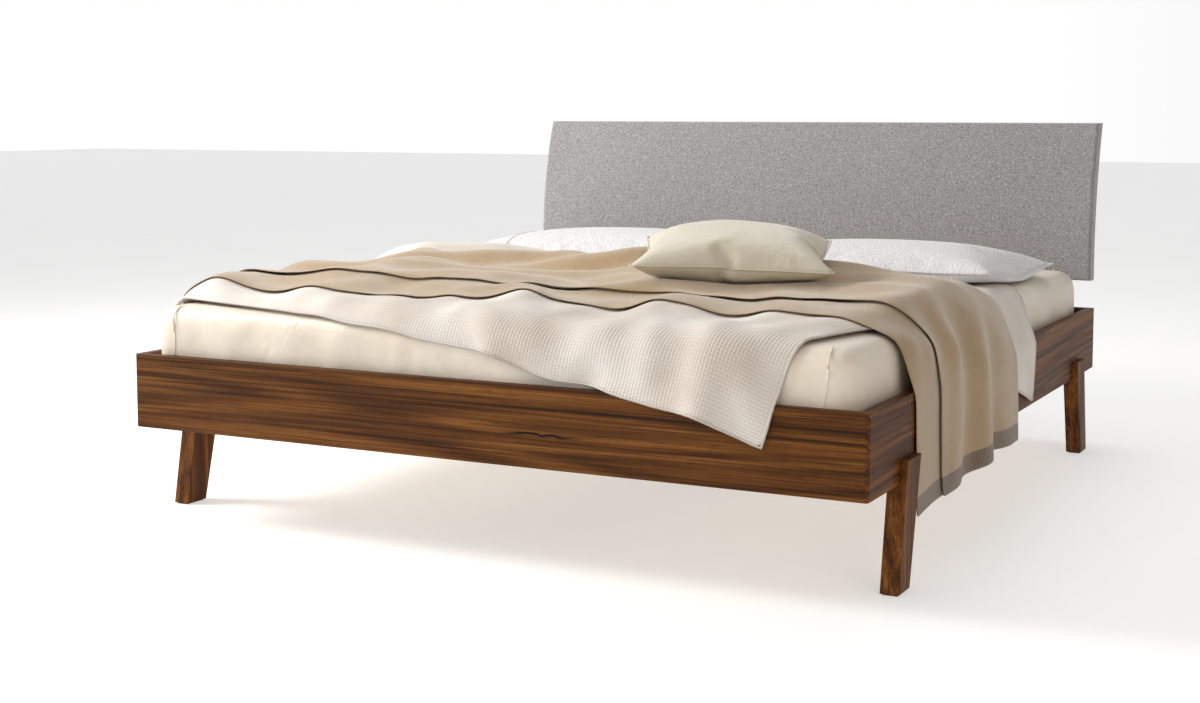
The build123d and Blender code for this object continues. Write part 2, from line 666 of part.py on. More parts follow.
def throw_blanket():
    """The throw: a band across the bed that hangs over both side rails."""
    outer = SIDE_X + THROW_EDGE_GAP + THROW_FLAP_THICK
    band = box((-outer, THROW_FOOT_Y, DUVET_TOP), (outer, THROW_HEAD_Y, THROW_TOP))

    leg_back = -END_Y + LEG_TOP_INSET + LEG_TOP_DEPTH + LEG_CLEAR_GAP
    over_leg = LEG_TOP + LEG_CLEAR_GAP
    hem = [(THROW_FOOT_Y + along, MATTRESS_TOP - drop) for along, drop in THROW_RIGHT_HEM]
    outline = [
        (THROW_FOOT_Y, DUVET_TOP),
        (THROW_FOOT_Y, MATTRESS_TOP - THROW_FRONT_DROP),
        (leg_back - LEG_TOP_DEPTH / 3, over_leg),
        (leg_back, over_leg),
        (leg_back + THROW_TIP_SHIFT, MATTRESS_TOP - THROW_TIP_DROP),
        *hem,
        (THROW_HEAD_Y, MATTRESS_TOP - THROW_REAR_DROP),
        (THROW_HEAD_Y, DUVET_TOP),
    ]
    side_face = SIDE_X + THROW_EDGE_GAP
    right_flap = prism(outline, Plane.YZ.offset(side_face), THROW_FLAP_THICK)
    left_flap = box(
        (-outer, THROW_FOOT_Y, MATTRESS_TOP - THROW_LEFT_DROP),
        (-side_face, THROW_HEAD_Y, DUVET_TOP),
    )
    return band + right_flap + left_flap


def pillow(x, y):
    """A soft pillow on the mattress."""
    block = padded_block(PILLOW_WIDTH, PILLOW_DEPTH, PILLOW_THICK, PILLOW_ROUND)
    return Pos(x, y, MATTRESS_TOP + SEAT_GAP + PILLOW_THICK / 2) * block


def cushion():
    """The small cushion on the throw."""
    block = padded_block(CUSHION_SIZE, CUSHION_SIZE, CUSHION_THICK, CUSHION_ROUND)
    y = THROW_HEAD_Y - CUSHION_HEAD_INSET
    z = THROW_TOP + SEAT_GAP + CUSHION_THICK / 2
    return Pos(CUSHION_X, y, z) * Rot(0, 0, CUSHION_TURN) * block


def export_frame():
    """The rails, the legs and the steel in the corners."""
    foot_blank = rail_bar(SIDE_X, END_Y, 0)
    save("foot_rail", [drill(foot_blank, end_rail_holes(-1))])
    save("head_rail", [drill(Rot(0, 0, 180) * foot_blank, end_rail_holes(1))])
    rail = side_rail()
    leg = front_right_leg()
    bracket = front_right_bracket()
    save("side_rail_right", [rail])
    save("side_rail_left", [mirror(rail, about=Plane.YZ)])
    for side, about_side in (("right", []), ("left", [Plane.YZ])):
        for end, about_end in (("foot", []), ("head", [Plane.XZ])):
            for name, solid in (("leg", leg), ("corner_bracket", bracket)):
                for plane in about_side + about_end:
                    solid = mirror(solid, about=plane)
                save(f"{name}_{end}_{side}", [solid])
    glides = mirrored(mirrored([front_right_glide()], Plane.YZ), Plane.XZ)
    save("leg_glides", glides)
    head = (LEG_BOLT_HEAD_RADIUS, LEG_BOLT_HEAD)
    places = both_sides(LEG_BOLTS)
    save("leg_bolts", [fastener(p, LEG_BOLT_RADIUS, LEG_BOLT_LENGTH, *head) for p in places])
    save("corner_screws", screws(both_sides(both_ends(BRACKET_SCREWS)), BRACKET_SCREW_LENGTH))


def export_inside():
    """The ledges, the centre beam and the centre leg."""
    ledge = right_ledge()
    hanger = foot_hanger()
    save("ledge_right", [ledge])
    save("ledge_left", [mirror(ledge, about=Plane.YZ)])
    save("ledge_screws", screws(both_sides(LEDGE_SCREWS), LEDGE_SCREW_LENGTH))
    save("centre_beam", [centre_beam()])
    save("beam_hanger_foot", [hanger])
    save("beam_hanger_head", [mirror(hanger, about=Plane.XZ)])
    save("hanger_screws", screws(both_ends(HANGER_SCREWS), HANGER_SCREW_LENGTH))
    save("centre_leg", [centre_leg()])
    save("centre_leg_screws", screws(PLATE_SCREWS, PLATE_SCREW_LENGTH))
    save("centre_lock_nut", [centre_lock_nut()])
    save("centre_foot", [centre_foot()])


def export_bases():
    """The two slatted bases, with each row's left and right slat in one node."""
    holders = [holder for row in range(SLAT_ROWS) for holder in slat_holders(slat_row_y(row))]
    inner = base_member(BASE_INNER_X)
    outer = base_member(BASE_OUTER_X - MEMBER_WIDTH)
    save("base_right_inner_member", [inner])
    save("base_right_outer_member", [outer])
    save("base_right_slat_holders", holders)
    save("base_left_inner_member", [mirror(inner, about=Plane.YZ)])
    save("base_left_outer_member", [mirror(outer, about=Plane.YZ)])
    save("base_left_slat_holders", [mirror(holder, about=Plane.YZ) for holder in holders])
    for row in range(SLAT_ROWS):
        save(f"slat_row_{row + 1:02d}", mirrored([slat(slat_row_y(row))], Plane.YZ))


def export_headboard():
    """The headboard and its brackets."""
    bracket = headboard_bracket()
    save("headboard_core", [headboard_core()])
    save("headboard_cover", [headboard_cover()])
    save("headboard_back_cover", [headboard_back_cover()])
    save("headboard_bracket_right", [bracket])
    save("headboard_bracket_left", [mirror(bracket, about=Plane.YZ)])
    save("headboard_bolts", headboard_bolts())


def export_bedding():
    """The mattress and everything that lies on it."""
    save("mattress", [mattress()])
    save("duvet", [duvet()])
    save("throw", [throw_blanket()])
    save("pillow_right", [pillow(PILLOW_SPREAD / 2, PILLOW_Y)])
    save("pillow_left", [pillow(PILLOW_LEFT_INWARD - PILLOW_SPREAD / 2, PILLOW_Y + PILLOW_LEFT_BACK)])
    save("cushion", [cushion()])


os.makedirs("parts", exist_ok=True)
export_frame()
export_inside()
export_bases()
export_headboard()
export_bedding()
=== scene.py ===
import math

import bpy
import numpy as np
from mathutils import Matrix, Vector, noise
from mathutils.bvhtree import BVHTree


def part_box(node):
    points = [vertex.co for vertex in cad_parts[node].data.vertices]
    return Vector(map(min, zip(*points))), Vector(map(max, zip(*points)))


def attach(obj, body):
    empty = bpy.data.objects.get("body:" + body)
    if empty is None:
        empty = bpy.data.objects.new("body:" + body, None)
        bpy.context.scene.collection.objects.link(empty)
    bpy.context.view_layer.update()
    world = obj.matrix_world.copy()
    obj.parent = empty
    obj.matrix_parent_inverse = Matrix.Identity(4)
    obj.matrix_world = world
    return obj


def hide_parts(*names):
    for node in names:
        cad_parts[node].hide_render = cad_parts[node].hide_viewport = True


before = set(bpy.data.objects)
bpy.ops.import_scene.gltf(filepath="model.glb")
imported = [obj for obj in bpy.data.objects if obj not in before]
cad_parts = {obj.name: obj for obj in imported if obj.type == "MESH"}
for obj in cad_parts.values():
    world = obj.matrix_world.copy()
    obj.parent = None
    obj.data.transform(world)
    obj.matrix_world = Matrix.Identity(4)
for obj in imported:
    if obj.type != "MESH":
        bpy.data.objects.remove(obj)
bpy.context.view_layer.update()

# Everything is in metres, in the frame of the CAD model.
CAMERA_PLACE = (2.044, -4.346, 1.002)
CAMERA_YAW = 0.476
CAMERA_PITCH = 0.088
CAMERA_LENS = 53.06
CAMERA_SHIFT = -0.072

GRAVITY = -9.81

MATTRESS_ROUND = 0.048
MATTRESS_STEP = 0.021
MATTRESS_CROWN = 0.006
MATTRESS_SWELL = 0.004
MATTRESS_GATHERS = 0.0055
MATTRESS_CREASES = 0.0022
MATTRESS_PULLS = 0.002
SEAM_FROM_CORNER = 0.062
SEAM_RADIUS = 0.0022
RAIL_ROUND = 0.004
COLLISION_STEP = 0.06

# Duvet: a 200 by 160 cm duvet laid across the bed, turned so that two corners hang over.
# Each corner is where it would lie if the cloth were flat on the mattress.
DUVET_FLAT = (2.00, 1.60)
DUVET_FOOT_LEFT = (-1.20, -0.86)
DUVET_FOOT_RIGHT = (0.705, -1.160)
DUVET_HEAD_LEFT = (-0.74, 0.46)
DUVET_HEAD_RIGHT = (1.165, 0.255)
DUVET_STEP = 0.025
DUVET_LOFT = 0.027
DUVET_EDGE_LOFT = 0.003
DUVET_DROP = 0.058
DUVET_FOLDS = 0.040
DUVET_PIPING = 0.0032

# Throw: 143 by 245 cm, folded lengthwise so that the upper layer is narrower than the lower one.
THROW_LENGTH = 2.45
THROW_LOWER = 0.79
THROW_UPPER = 0.63
THROW_TIP = (1.285, -0.750)
THROW_TURN = math.radians(3.5)
THROW_STEP = 0.024
THROW_THICK = 0.003
THROW_LAYER_GAP = 0.007
THROW_HEM = 0.055
THROW_DROP = 0.085
THROW_GAP = 0.005

PILLOW_FLAT = (0.80, 0.60)
PILLOW_PRESSURE = 5.1
PILLOW_STEP = 0.020
PILLOW_PIPING = 0.0022
PILLOW_PLACKET = 0.0020
CUSHION_FLAT = (0.50, 0.48)
CUSHION_PRESSURE = 11.0
CUSHION_STEP = 0.0165
CUSHION_TURN = math.radians(20)
CUSHION_PIPING = 0.0020

# A pillow starts a little small and thin, just above where it lies.
INFLATE_FRAMES = 40
INFLATE_SHARE = 0.985
INFLATE_RISE = 0.012
INFLATE_CLEARANCE = 0.02
INFLATE_MIDDLE = 0.030

# The cloth solver: time in seconds, speed in metres a second.
DRAPE_STEPS = 170
DRAPE_ROUNDS = 12
DRAPE_PACE = 1 / 60
DRAPE_DAMPING = 0.965
DRAPE_TOP_SPEED = 1.2
DRAPE_SHEAR = 0.25
DRAPE_BEND = 0.12
DRAPE_GRIP = 0.96
SEARCH_REACH = 0.08


def link(obj):
    """Put an object in the scene."""
    bpy.context.scene.collection.objects.link(obj)
    return obj


def mesh_object(name, points, faces, uvs=None):
    """A smooth-shaded mesh, with one UV per point if they are given."""
    mesh = bpy.data.meshes.new(name)
    mesh.from_pydata([tuple(p) for p in points], [], [tuple(f) for f in faces])
    mesh.update()
    for polygon in mesh.polygons:
        polygon.use_smooth = True
    if uvs is not None:
        layer = mesh.uv_layers.new(name="metres")
        corners = np.zeros(len(mesh.loops), dtype=np.int64)
        mesh.loops.foreach_get("vertex_index", corners)
        layer.data.foreach_set("uv", np.asarray(uvs)[corners].astype(np.float32).ravel())
    return link(bpy.data.objects.new(name, mesh))


def coordinates(obj):
    """The places of a mesh's points."""
    points = np.zeros(len(obj.data.vertices) * 3, dtype=np.float32)
    obj.data.vertices.foreach_get("co", points)
    return points.reshape(-1, 3).astype(np.float64)


def set_coordinates(obj, points):
    """Move a mesh's points."""
    obj.data.vertices.foreach_set("co", np.asarray(points, dtype=np.float32).ravel())
    obj.data.update()


def grid_faces(rows, columns, start=0, flip=False):
    """The faces of a grid of points that is stored row by row."""
    faces = []
    for i in range(rows - 1):
        for j in range(columns - 1):
            a = start + i * columns + j
            face = (a, a + columns, a + columns + 1, a + 1)
            faces.append(face[::-1] if flip else face)
    return faces


def fractal(points, scale, octaves, offset):
    """Smooth noise from about -1 to 1 at each point."""
    values = []
    for p in points:
        place = Vector((p[0] * scale + offset, p[1] * scale - offset, p[2] * scale + 2 * offset))
        values.append(noise.fractal(place, 1.0, 2.0, octaves))
    return np.array(values)


# Cloth simulation

def add_collision(obj, thickness=0.004):
    """Make an object solid for cloth."""
    obj.modifiers.new("solid", "COLLISION")
    obj.collision.thickness_outer = thickness
    obj.collision.thickness_inner = 0.02
    obj.collision.cloth_friction = 40.0
    obj.collision.use_culling = False
    return obj


def simulate(obj, frames, pressure, tension, bending):
    """Blow up a closed mesh as cloth, let it lie down, and leave its points where they end."""
    scene = bpy.context.scene
    modifier = obj.modifiers.new("cloth", "CLOTH")
    settings = modifier.settings
    settings.quality = 5
    settings.mass = 0.12
    settings.air_damping = 3.0
    settings.tension_stiffness = tension
    settings.compression_stiffness = tension
    settings.shear_stiffness = 6
    settings.bending_stiffness = bending
    settings.bending_damping = 0.5
    settings.use_pressure = True
    settings.uniform_pressure_force = pressure
    modifier.collision_settings.distance_min = 0.003
    modifier.collision_settings.collision_quality = 2
    modifier.point_cache.frame_start = 1
    modifier.point_cache.frame_end = frames
    scene.frame_start = 1
    scene.frame_end = frames
    for number in range(1, frames + 1):
        scene.frame_set(number)
    shown = obj.evaluated_get(bpy.context.evaluated_depsgraph_get())
    mesh = shown.to_mesh()
    points = np.zeros(len(mesh.vertices) * 3, dtype=np.float32)
    mesh.vertices.foreach_get("co", points)
    shown.to_mesh_clear()
    obj.modifiers.remove(modifier)
    set_coordinates(obj, points)
    scene.frame_set(1)


def solids():
    """The rounded boxes that cloth lies on, each as its core's corners and its edge radius."""
    boxes = []
    for node, radius in (
        ("mattress", MATTRESS_ROUND), ("foot_rail", RAIL_ROUND), ("head_rail", RAIL_ROUND),
        ("side_rail_left", RAIL_ROUND), ("side_rail_right", RAIL_ROUND),
    ):
        low, high = (np.array(corner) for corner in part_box(node))
        boxes.append((low + radius, high - radius, radius))
    return boxes


def push_out(points, gap, boxes):
    """Move points out of the boxes by their gap; also say which points touched."""
    touched = np.zeros(len(points), dtype=bool)
    for low, high, radius in boxes:
        away = points - np.clip(points, low, high)
        distance = np.linalg.norm(away, axis=1)
        near = (distance < radius + gap) & (distance > 1e-9)
        scale = (radius + gap[near]) / distance[near] - 1
        points[near] += away[near] * scale[:, None]
        inside = distance <= 1e-9
        points[inside, 2] = high[2] + radius + gap[inside]
        touched |= near | inside
    return touched


def pull(grid, axis, first, reach, rest, share):
    """Bring pairs of grid points along one axis, reach apart, towards their rest distance."""
    count = grid.shape[axis]
    one = np.arange(first, count - reach, 2 * reach)
    for extra in range(reach):
        a = one + extra
        a = a[a + reach < count]
        b = a + reach
        p = grid.take(a, axis)
        q = grid.take(b, axis)
        gap = q - p
        length = np.linalg.norm(gap, axis=2, keepdims=True)
        move = gap * ((length - rest) / np.maximum(length, 1e-9) * 0.5 * share)
        if axis == 0:
            grid[a] += move
            grid[b] -= move
        else:
            grid[:, a] += move
            grid[:, b] -= move


def pull_diagonal(grid, rest, share):
    """Bring diagonal neighbours towards their rest distance."""
    for flip in (False, True):
        view = grid[:, ::-1] if flip else grid
        for i in (0, 1):
            for j in (0, 1):
                p = view[i:-1:2, j:-1:2]
                q = view[i + 1::2, j + 1::2]
                rows = min(len(p), len(q))
                columns = min(p.shape[1], q.shape[1])
                p = p[:rows, :columns]
                q = q[:rows, :columns]
                gap = q - p
                length = np.linalg.norm(gap, axis=2, keepdims=True)
                move = gap * ((length - rest) / np.maximum(length, 1e-9) * 0.5 * share)
                p += move
                q -= move


def drape(grid, pitch, gap, surface=None):
    """Let cloth, a grid of points a pitch apart when flat, settle on the bed and on a surface."""
    boxes = solids()
    shape = grid.shape
    count = shape[0] * shape[1]
    gap = np.broadcast_to(np.asarray(gap, dtype=float), (count,)).copy()
    slip = np.array([1 - DRAPE_GRIP, 1 - DRAPE_GRIP, 1.0])
    speed = np.zeros_like(grid)
    for _ in range(DRAPE_STEPS):
        before = grid.copy()
        speed[..., 2] += GRAVITY * DRAPE_PACE
        speed *= DRAPE_DAMPING
        size = np.linalg.norm(speed, axis=2, keepdims=True)
        speed *= np.minimum(1, DRAPE_TOP_SPEED / np.maximum(size, 1e-9))
        grid = grid + speed * DRAPE_PACE
        contact = nearest_contacts(grid.reshape(-1, 3), surface) if surface else None
        touched = np.zeros(count, dtype=bool)
        for _ in range(DRAPE_ROUNDS):
            for axis in (0, 1):
                for first in (0, 1):
                    pull(grid, axis, first, 1, pitch, 1.0)
            pull_diagonal(grid, pitch * math.sqrt(2), DRAPE_SHEAR)
            for axis in (0, 1):
                for first in (0, 3):
                    pull(grid, axis, first, 3, pitch * 3, DRAPE_BEND)
            flat = grid.reshape(-1, 3)
            hit = push_out(flat, gap, boxes)
            if contact is not None:
                hit |= push_off(flat, gap, *contact)
            touched |= hit
            grid = flat.reshape(shape)
        held = touched.reshape(shape[:2])[..., None]
        grid = np.where(held, before + (grid - before) * slip, grid)
        speed = (grid - before) / DRAPE_PACE
    return grid


def nearest_contacts(points, surface):
    """For each point, the nearest place of a surface and its normal."""
    places = np.zeros_like(points)
    normals = np.zeros_like(points)
    for index, point in enumerate(points):
        place, normal, _, _ = surface.find_nearest(Vector(point), SEARCH_REACH)
        if place is not None:
            places[index] = place
            normals[index] = normal
    return places, normals


def push_off(points, gap, places, normals):
    """Keep points on the outer side of the surface's nearest places."""
    height = ((points - places) * normals).sum(axis=1)
    near = (np.abs(normals).sum(axis=1) > 0) & (height < gap)
    points[near] += normals[near] * (gap[near] - height[near])[:, None]
    return near


def box_mesh(name, low, high, rounding, step):
    """A box with rounded edges, from an evenly divided skin."""
    low = np.array(low, dtype=float)
    high = np.array(high, dtype=float)
    counts = np.maximum(2, np.ceil((high - low) / step).astype(int) + 1)
    points, faces = [], []
    for axis in range(3):
        across = [a for a in range(3) if a != axis]
        u = np.linspace(low[across[0]], high[across[0]], counts[across[0]])
        v = np.linspace(low[across[1]], high[across[1]], counts[across[1]])
        for end in (0, 1):
            start = len(points)
            for a in u:
                for b in v:
                    p = [0.0, 0.0, 0.0]
                    p[axis] = high[axis] if end else low[axis]
                    p[across[0]] = a
                    p[across[1]] = b
                    points.append(p)
            flip = (axis == 1) == bool(end)
            faces += grid_faces(len(u), len(v), start, flip)
    points = np.array(points)
    core = np.clip(points, low + rounding, high - rounding)
    out = points - core
    length = np.linalg.norm(out, axis=1, keepdims=True)
    points = core + out / np.maximum(length, 1e-9) * rounding
    obj = mesh_object(name, points, faces)
    weld = obj.modifiers.new("weld", "WELD")
    weld.merge_threshold = 1e-5
    apply_modifiers(obj)
    return obj


def apply_modifiers(obj):
    """Replace an object's mesh by what its modifiers make of it."""
    shown = obj.evaluated_get(bpy.context.evaluated_depsgraph_get())
    mesh = bpy.data.meshes.new_from_object(shown)
    old = obj.data
    obj.modifiers.clear()
    obj.data = mesh
    bpy.data.meshes.remove(old)
    mesh.name = obj.name
    for polygon in mesh.polygons:
        polygon.use_smooth = True


def remove(obj):
    """Take a helper object out of the file."""
    bpy.data.objects.remove(obj, do_unlink=True)


# Shaders

class Shader:
    """A material that is built node by node."""

    def __init__(self, name):
        self.material = bpy.data.materials.new(name)
        self.material.use_nodes = True
        self.tree = self.material.node_tree
        self.principled = self.tree.nodes["Principled BSDF"]

    def node(self, kind, inputs=None, **settings):
        """A node, with its inputs linked or set and its settings made."""
        made = self.tree.nodes.new(kind)
        for key, value in settings.items():
            setattr(made, key, value)
        for key, value in (inputs or {}).items():
            self.feed(made.inputs[key], value)
        return made

    def feed(self, socket, value):
        """Link a socket to another, or set its value."""
        if isinstance(value, bpy.types.NodeSocket):
            self.tree.links.new(value, socket)
        else:
            socket.default_value = value

    def place(self, stretch=(1, 1, 1), shift=(0, 0, 0)):
        """The place on the object in metres, stretched."""
        source = self.node("ShaderNodeTexCoord").outputs["Object"]
        return self.mapped(source, stretch, shift)

    def cloth(self, stretch=(1, 1, 1)):
        """The place on the flat cloth in metres."""
        source = self.node("ShaderNodeUVMap", uv_map="metres").outputs["UV"]
        return self.mapped(source, stretch)

    def mapped(self, source, stretch=(1, 1, 1), shift=(0, 0, 0), turn=(0, 0, 0)):
        """A place, turned, stretched and shifted."""
        inputs = {"Vector": source, "Scale": stretch, "Location": shift, "Rotation": turn}
        return self.node("ShaderNodeMapping", inputs).outputs["Vector"]

    def noise(self, where, scale, detail=4.0, rough=0.5, distortion=0.0):
        """Noise from 0 to 1."""
        inputs = {
            "Vector": where, "Scale": scale, "Detail": detail,
            "Roughness": rough, "Distortion": distortion,
        }
        return self.node("ShaderNodeTexNoise", inputs).outputs["Fac"]

    def cells(self, where, scale, output="Distance"):
        """Distance to scattered points, or the colour of the nearest one's cell."""
        made = self.node("ShaderNodeTexVoronoi", {"Vector": where, "Scale": scale})
        return made.outputs[output]

    def maths(self, operation, *values):
        """One step of arithmetic."""
        made = self.node("ShaderNodeMath", operation=operation)
        for socket, value in zip(made.inputs, values):
            self.feed(socket, value)
        return made.outputs[0]

    def spread(self, value, low, high, to_low=0.0, to_high=1.0):
        """Map a range to another, smoothly and within limits."""
        inputs = {
            "Value": value, "From Min": low, "From Max": high, "To Min": to_low, "To Max": to_high,
        }
        made = self.node("ShaderNodeMapRange", inputs, interpolation_type="SMOOTHSTEP")
        return made.outputs["Result"]

    def ramp(self, value, *stops):
        """Colours along a value: each stop is a position and an sRGB colour."""
        made = self.node("ShaderNodeValToRGB", {"Fac": value})
        elements = made.color_ramp.elements
        while len(elements) < len(stops):
            elements.new(0.5)
        for element, (position, colour) in zip(elements, stops):
            element.position = position
            element.color = (*linear(colour), 1.0)
        return made.outputs["Color"]

    def blend(self, share, first, second):
        """Mix two colours."""
        made = self.node("ShaderNodeMix", data_type="RGBA")
        self.feed(made.inputs[0], share)
        self.feed(made.inputs[6], colour_value(first))
        self.feed(made.inputs[7], colour_value(second))
        return made.outputs[2]

    def split(self, where):
        """The three parts of a place."""
        return self.node("ShaderNodeSeparateXYZ", {"Vector": where}).outputs

    def finish(self, colour=None, roughness=None, height=None, depth=0.001, **plain):
        """Feed the surface: its colour, roughness, relief and plain settings."""
        for key, value in (("Base Color", colour), ("Roughness", roughness)):
            if value is not None:
                self.feed(self.principled.inputs[key], value)
        if height is not None:
            relief = {"Height": height, "Distance": depth, "Strength": 1.0}
            bump = self.node("ShaderNodeBump", relief)
            self.feed(self.principled.inputs["Normal"], bump.outputs["Normal"])
        for key, value in plain.items():
            self.principled.inputs[key.replace("_", " ")].default_value = value
        return self.material


def linear(colour):
    """An sRGB colour from 0 to 255 as linear light."""
    return tuple(
        (c / 255 / 12.92) if c < 10 else ((c / 255 + 0.055) / 1.055) ** 2.4 for c in colour
    )


def colour_value(value):
    """A socket as it is, or an sRGB colour as a socket value."""
    return value if isinstance(value, bpy.types.NodeSocket) else (*linear(value), 1.0)


def walnut(name, along, shift, crack=None):
    """Oiled walnut whose grain runs along one axis, given as 0, 1 or 2.

    A crack is its two ends in x, and its z.
    """
    s = Shader(name)

    def stretched(across, lengthwise):
        scale = [across] * 3
        scale[along] = lengthwise
        return s.place(tuple(scale), shift)

    wide = stretched(9.0, 0.40)
    figure = s.noise(wide, 1.0, 2.0, 0.45, 0.25)
    rings = s.maths("SINE", s.maths("MULTIPLY", figure, 52.0))
    rings = s.maths("MULTIPLY_ADD", rings, 0.5, 0.5)
    bands = s.noise(stretched(58.0, 0.6), 1.0, 4.0, 0.65, 0.2)
    streaks = s.noise(stretched(240.0, 1.4), 1.0, 4.0, 0.7, 0.2)
    fine = s.noise(stretched(420.0, 7.0), 1.0, 3.0, 0.6)
    pores = s.spread(s.noise(stretched(900.0, 26.0), 1.0, 2.0, 0.5), 0.56, 0.70)
    tone = s.maths("MULTIPLY", rings, 0.13)
    tone = s.maths("MULTIPLY_ADD", bands, 0.36, tone)
    tone = s.maths("MULTIPLY_ADD", streaks, 0.50, tone)
    tone = s.maths("MULTIPLY_ADD", fine, 0.28, tone)
    colour = s.ramp(
        tone,
        (0.38, (24, 10, 2)),
        (0.49, (50, 25, 7)),
        (0.59, (80, 45, 14)),
        (0.70, (108, 65, 24)),
        (0.82, (142, 93, 44)),
    )
    veins = s.noise(stretched(30.0, 0.32), 1.0, 2.0, 0.5, 0.3)
    veins = s.maths("ABSOLUTE", s.maths("SUBTRACT", veins, 0.5))
    colour = s.blend(s.spread(veins, 0.0, 0.020, 0.5, 0.0), colour, (26, 12, 4))
    if crack:
        start, end, level = crack
        x, _, z = s.split(s.place())
        wander = s.noise(s.place((1.0, 0.0, 0.0)), 14.0, 4.0, 0.6)
        offset = s.maths("MULTIPLY_ADD", wander, 0.024, -level - 0.012)
        away = s.maths("ABSOLUTE", s.maths("ADD", offset, z))
        opening = s.spread(x, start, start + 0.07)
        closing = s.spread(x, end - 0.09, end, 1, 0)
        length = s.maths("MULTIPLY", opening, closing)
        open_crack = s.maths("MULTIPLY", s.spread(away, 0.0012, 0.0042, 1.0, 0.0), length)
        colour = s.blend(open_crack, colour, (12, 6, 3))
    knots = s.cells(stretched(3.4, 1.3), 1.0)
    halo = s.spread(knots, 0.03, 0.16, 0.6, 0.0)
    colour = s.blend(halo, colour, (58, 34, 18))
    colour = s.blend(s.spread(knots, 0.018, 0.036, 1.0, 0.0), colour, (26, 15, 9))
    colour = s.blend(s.maths("MULTIPLY", pores, 0.5), colour, (36, 20, 11))
    height = s.maths("MULTIPLY_ADD", pores, -0.6, s.maths("MULTIPLY", fine, 0.4))
    roughness = s.spread(streaks, 0.3, 0.7, 0.44, 0.58)
    return s.finish(colour, roughness, height, 0.0004, Specular_IOR_Level=0.12)


def light_wood(name, along, pale, dark, shift=(0, 0, 0)):
    """Planed pine or lacquered birch, with straight grain along one axis."""
    s = Shader(name)
    squeeze = [34.0, 34.0, 34.0]
    squeeze[along] = 1.6
    where = s.place(tuple(squeeze), shift)
    grain = s.noise(where, 1.0, 5.0, 0.6, 0.6)
    fine = s.noise(where, 6.0, 2.0)
    colour = s.ramp(s.maths("MULTIPLY_ADD", fine, 0.3, s.maths("MULTIPLY", grain, 0.75)),
                    (0.3, dark), (0.62, pale))
    return s.finish(colour, s.spread(grain, 0.3, 0.7, 0.45, 0.6), grain, 0.0004)


def painted_steel(name):
    """Black powder coat with a fine orange-peel relief."""
    s = Shader(name)
    grain = s.noise(s.place(), 900.0, 2.0)
    wear = s.noise(s.place(), 24.0, 4.0, 0.6)
    colour = s.ramp(wear, (0.3, (24, 24, 25)), (0.75, (36, 36, 37)))
    return s.finish(colour, s.spread(wear, 0.3, 0.7, 0.42, 0.58), grain, 0.00012)


def zinc_steel(name):
    """Bright zinc plating with faint spangle and turning marks."""
    s = Shader(name)
    spangle = s.cells(s.place(), 420.0, output="Color")
    marks = s.noise(s.place((1, 1, 12)), 300.0, 2.0)
    tone = s.node("ShaderNodeRGBToBW", {"Color": spangle}).outputs[0]
    colour = s.ramp(tone, (0.1, (168, 170, 172)), (0.9, (205, 206, 205)))
    return s.finish(colour, s.spread(tone, 0.0, 1.0, 0.24, 0.42), marks, 0.00005, Metallic=1.0)


def rubber(name):
    """Matt black moulded rubber."""
    s = Shader(name)
    grain = s.noise(s.place(), 700.0, 3.0, 0.6)
    bloom = s.noise(s.place(), 30.0, 3.0)
    colour = s.ramp(bloom, (0.3, (20, 20, 20)), (0.8, (34, 34, 33)))
    return s.finish(colour, s.spread(bloom, 0.3, 0.8, 0.7, 0.85), grain, 0.0002)


def felt(name, dark, middle, light, scale, depth=0.0009, sheen=0.35):
    """Wool felt: tangled fibres of mixed shades, with a soft sheen."""
    s = Shader(name)
    where = s.place()
    tangle = s.noise(where, scale, 4.0, 0.7, 0.6)
    flecks = s.noise(where, scale * 0.62, 2.0, 0.6, 0.3)
    cloud = s.noise(where, 2.0, 2.0, 0.5)
    tone = s.maths("MULTIPLY_ADD", tangle, 0.5, s.maths("MULTIPLY", flecks, 0.5))
    tone = s.maths("ADD", tone, s.maths("MULTIPLY_ADD", cloud, 0.04, -0.02))
    colour = s.ramp(tone, (0.34, dark), (0.5, middle), (0.66, light))
    rough = s.spread(tangle, 0.3, 0.7, 0.82, 0.98)
    return s.finish(colour, rough, tone, depth, Sheen_Weight=sheen, Sheen_Roughness=0.5)


def satin(name, pale, shade, thread, gloss):
    """Smooth cotton satin: a fine diagonal thread, faint slubs, soft creases with painted shade
    along them and a soft gloss.
    """
    s = Shader(name)
    where = s.place()
    across = s.split(s.mapped(where, turn=(0.6, 0.5, 0.8)))
    pitch = 2 * math.pi / thread
    threads = s.maths("SINE", s.maths("MULTIPLY", across[0], pitch))
    cross = s.maths("SINE", s.maths("MULTIPLY", across[1], pitch * 0.8))
    weave = s.maths("MULTIPLY_ADD", threads, 0.5, s.maths("MULTIPLY", cross, 0.3))
    creases_and_shade = s.noise(where, 9.0, 5.0, 0.62, 0.8)
    cloud = s.noise(where, 2.2, 3.0, 0.5)
    # The colour is partly a random cloudy tone and partly painted shade that darkens it along the
    # creases of the relief.
    colour = s.ramp(s.maths("MULTIPLY_ADD", creases_and_shade, 0.4, s.maths("MULTIPLY", cloud, 0.6)),
                    (0.32, shade), (0.62, pale))
    height = s.maths("MULTIPLY_ADD", weave, 0.03, creases_and_shade)
    rough = s.spread(creases_and_shade, 0.3, 0.7, gloss, gloss + 0.12)
    return s.finish(colour, rough, height, 0.0045, Sheen_Weight=0.25, Sheen_Roughness=0.35)


